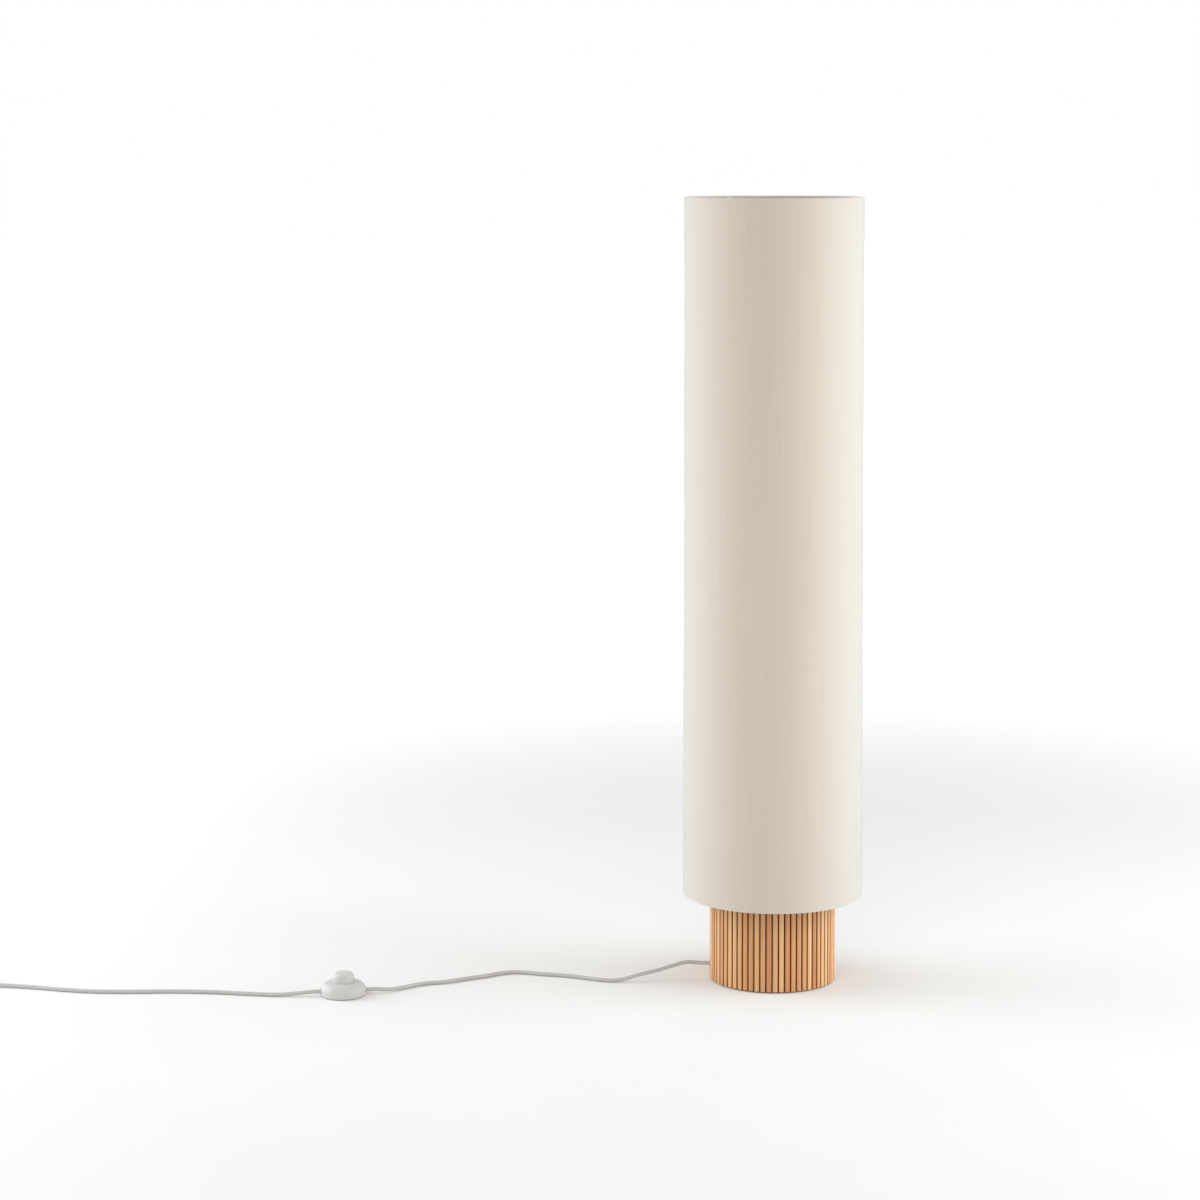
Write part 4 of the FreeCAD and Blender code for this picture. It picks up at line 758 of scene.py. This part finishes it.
def make_battens(materials):
    """Separate strips with rounded fronts and eased ends, and the cord's hole through them."""
    low_corner, high_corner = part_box("wood_battens")
    low, high = low_corner.z, high_corner.z
    levels = (
        (low, BATTEN_EDGE),
        (low + BATTEN_EDGE, 0.0),
        (high - BATTEN_EDGE, 0.0),
        (high, BATTEN_EDGE),
    )
    spread = distances(batten_outline(0.0))
    form = bmesh.new()
    grain = form.loops.layers.uv.new("grain")
    tone = form.faces.layers.float.new("tone")
    for number in range(BATTENS):
        angle = math.radians(360 / BATTENS * (number + 0.5) + GROOVE_TURN)
        turn = Matrix.Rotation(angle, 3, "Z")
        shade = (number * TONE_STEP + TONE_SWAY * math.sin(number * TONE_BEAT)) % 1.0
        shift_across, shift_up = number * GRAIN_SHIFT_ACROSS, number * GRAIN_SHIFT_UP
        rows = []
        for height, inset in levels:
            places = [turn @ Vector((*point, height)) for point in batten_outline(inset)]
            rows.append([form.verts.new(place) for place in places])
        for level in range(len(rows) - 1):
            lower, upper = rows[level], rows[level + 1]
            foot, top = levels[level][0] + shift_up, levels[level + 1][0] + shift_up
            for step in range(len(lower)):
                after = (step + 1) % len(lower)
                corners = (lower[step], lower[after], upper[after], upper[step])
                left, right = spread[step] + shift_across, spread[step + 1] + shift_across
                places = ((left, foot), (right, foot), (right, top), (left, top))
                add_face(form, corners, grain, places)[tone] = shade
        for row in (rows[0][::-1], rows[-1]):
            places = [(vert.co.x + shift_across, vert.co.y * END_GRAIN_SQUEEZE) for vert in row]
            add_face(form, row, grain, places)[tone] = shade
    battens = mesh_object("battens", form)
    drill(battens, CORD_EXIT, CORD_HOLE_RADIUS, CORD_HOLE_DEPTH)
    dress(battens, materials["oiled_wood"])
    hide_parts("wood_battens")


# ---- Foot switch ----


def button_outline():
    """Half-section of the push button as (radius, height): stem, skirt, flange and domed top."""
    middle = BUTTON_RADIUS - BUTTON_ROUND
    crown_foot = BUTTON_TOP - BUTTON_CROWN
    edge = crown_foot + math.sqrt((BUTTON_CROWN - BUTTON_ROUND) ** 2 - middle**2)
    lean = math.atan2(edge - crown_foot, middle)
    return [
        (0.0, STEM_FOOT),
        (STEM_RADIUS, STEM_FOOT),
        (STEM_RADIUS, BUTTON_ROOF),
        (BUTTON_INNER, BUTTON_ROOF),
        (BUTTON_INNER, FLANGE_FOOT),
        (FLANGE_RADIUS, FLANGE_FOOT),
        (FLANGE_RADIUS, FLANGE_TOP),
        (BUTTON_RADIUS, FLANGE_TOP),
        *arc((middle, edge), BUTTON_ROUND, 0.0, lean, DOME_STEPS),
        *arc((0.0, crown_foot), BUTTON_CROWN, lean, math.pi / 2, DOME_STEPS)[1:-1],
        (0.0, BUTTON_TOP),
    ]


def make_button(materials):
    """Push button with a softer dome than the plain one."""
    form = lathe(button_outline(), SWITCH_MIDDLE, BUTTON_SEGMENTS)
    button = mesh_object("push_button", form, body="button")
    dress(button, materials["switch_shell"])
    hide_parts("switch_button")


def make_spring(materials):
    """Return spring wound from round wire."""
    half = SPRING_WIRE / 2
    climb = BUTTON_ROOF - SPRING_FOOT - SPRING_WIRE
    steps = SPRING_STEPS * SPRING_TURNS
    form = bmesh.new()
    rings = []
    for step in range(steps + 1):
        share = step / steps
        turn = 2 * math.pi * SPRING_TURNS * share
        outward = Vector((math.cos(turn), math.sin(turn), 0.0))
        heart = SWITCH_MIDDLE + upward(SPRING_FOOT + half + climb * share)
        heart += outward * SPRING_RADIUS
        ring = []
        for corner in range(SPRING_SIDES):
            angle = 2 * math.pi * corner / SPRING_SIDES
            spoke = outward * half * math.cos(angle) + upward(half * math.sin(angle))
            ring.append(form.verts.new(heart + spoke))
        rings.append(ring)
    for one, two in zip(rings, rings[1:]):
        for corner in range(SPRING_SIDES):
            after = (corner + 1) % SPRING_SIDES
            form.faces.new((one[corner], one[after], two[after], two[corner]))
    form.faces.new(rings[0][::-1])
    form.faces.new(rings[-1])
    spring = mesh_object("return_spring", form, body=None, smooth_under=math.radians(60))
    dress(spring, materials["bare_steel"])
    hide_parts("switch_spring")
    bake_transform(spring)


# ---- Stage ----


def make_floor():
    """White floor that keeps the lamp's shadow and turns pure white further off."""
    form = bmesh.new()
    bmesh.ops.create_grid(form, x_segments=1, y_segments=1, size=FLOOR_HALF)
    floor = mesh_object("floor", form, body=None)
    look = Shader("white_floor")
    apart = look.add("VectorMath", {0: look.place}, operation="LENGTH").outputs["Value"]
    fade = {
        "Value": apart,
        "From Min": GLOW_FROM,
        "From Max": GLOW_FULL,
        "To Min": FLOOR_NEAR_GLOW,
        "To Max": 1.0,
    }
    far = look.add("MapRange", fade, interpolation_type="SMOOTHSTEP").outputs[0]
    look.tree.nodes.remove(look.surface)
    lit = look.add("BsdfDiffuse", {"Color": look.ramp(look.noise(3.0), *FLOOR_TONES)})
    glow = look.add("Emission", {"Strength": look.math("MULTIPLY", look.seen(), far)})
    both = look.add("AddShader", {0: lit.outputs[0], 1: glow.outputs[0]})
    look.set(look.tree.nodes["Material Output"], "Surface", both.outputs[0])
    dress(floor, look.material)


def make_surround():
    """Warm light from all round, with a plain white background for the camera."""
    world = bpy.data.worlds.new("surround")
    world.use_nodes = True
    bpy.context.scene.world = world
    room = NodeTree(world.node_tree)
    light = room.tree.nodes["Background"]
    room.set(light, "Color", (*ROOM_TINT, 1.0))
    room.set(light, "Strength", WORLD_LEVEL)
    white = room.add("Background", {"Color": (1.0, 1.0, 1.0, 1.0), "Strength": 1.0})
    choose = room.add("MixShader", {0: room.seen(), 1: light.outputs[0], 2: white.outputs[0]})
    room.set(room.tree.nodes["World Output"], "Surface", choose.outputs[0])


def make_lights():
    for name, place, size, power, tint in LIGHTS:
        data = bpy.data.lights.new(name, "AREA")
        data.size = size
        data.energy = power
        data.color = tint
        lamp = add_object(name, data, body=None)
        lamp.location = place
        lamp.rotation_euler = (LIGHT_TARGET - Vector(place)).to_track_quat("-Z", "Y").to_euler()
    bpy.context.scene.view_settings.view_transform = "Standard"


# ---- Build ----


make_camera()
materials = make_materials()
make_cords(materials)
make_shade(materials)
make_battens(materials)
make_button(materials)
make_spring(materials)
for part in frame["record"]["subparts"]:
    dress(NODES[part["node"]], materials[part["material_slot"]])
make_floor()
make_surround()
make_lights()
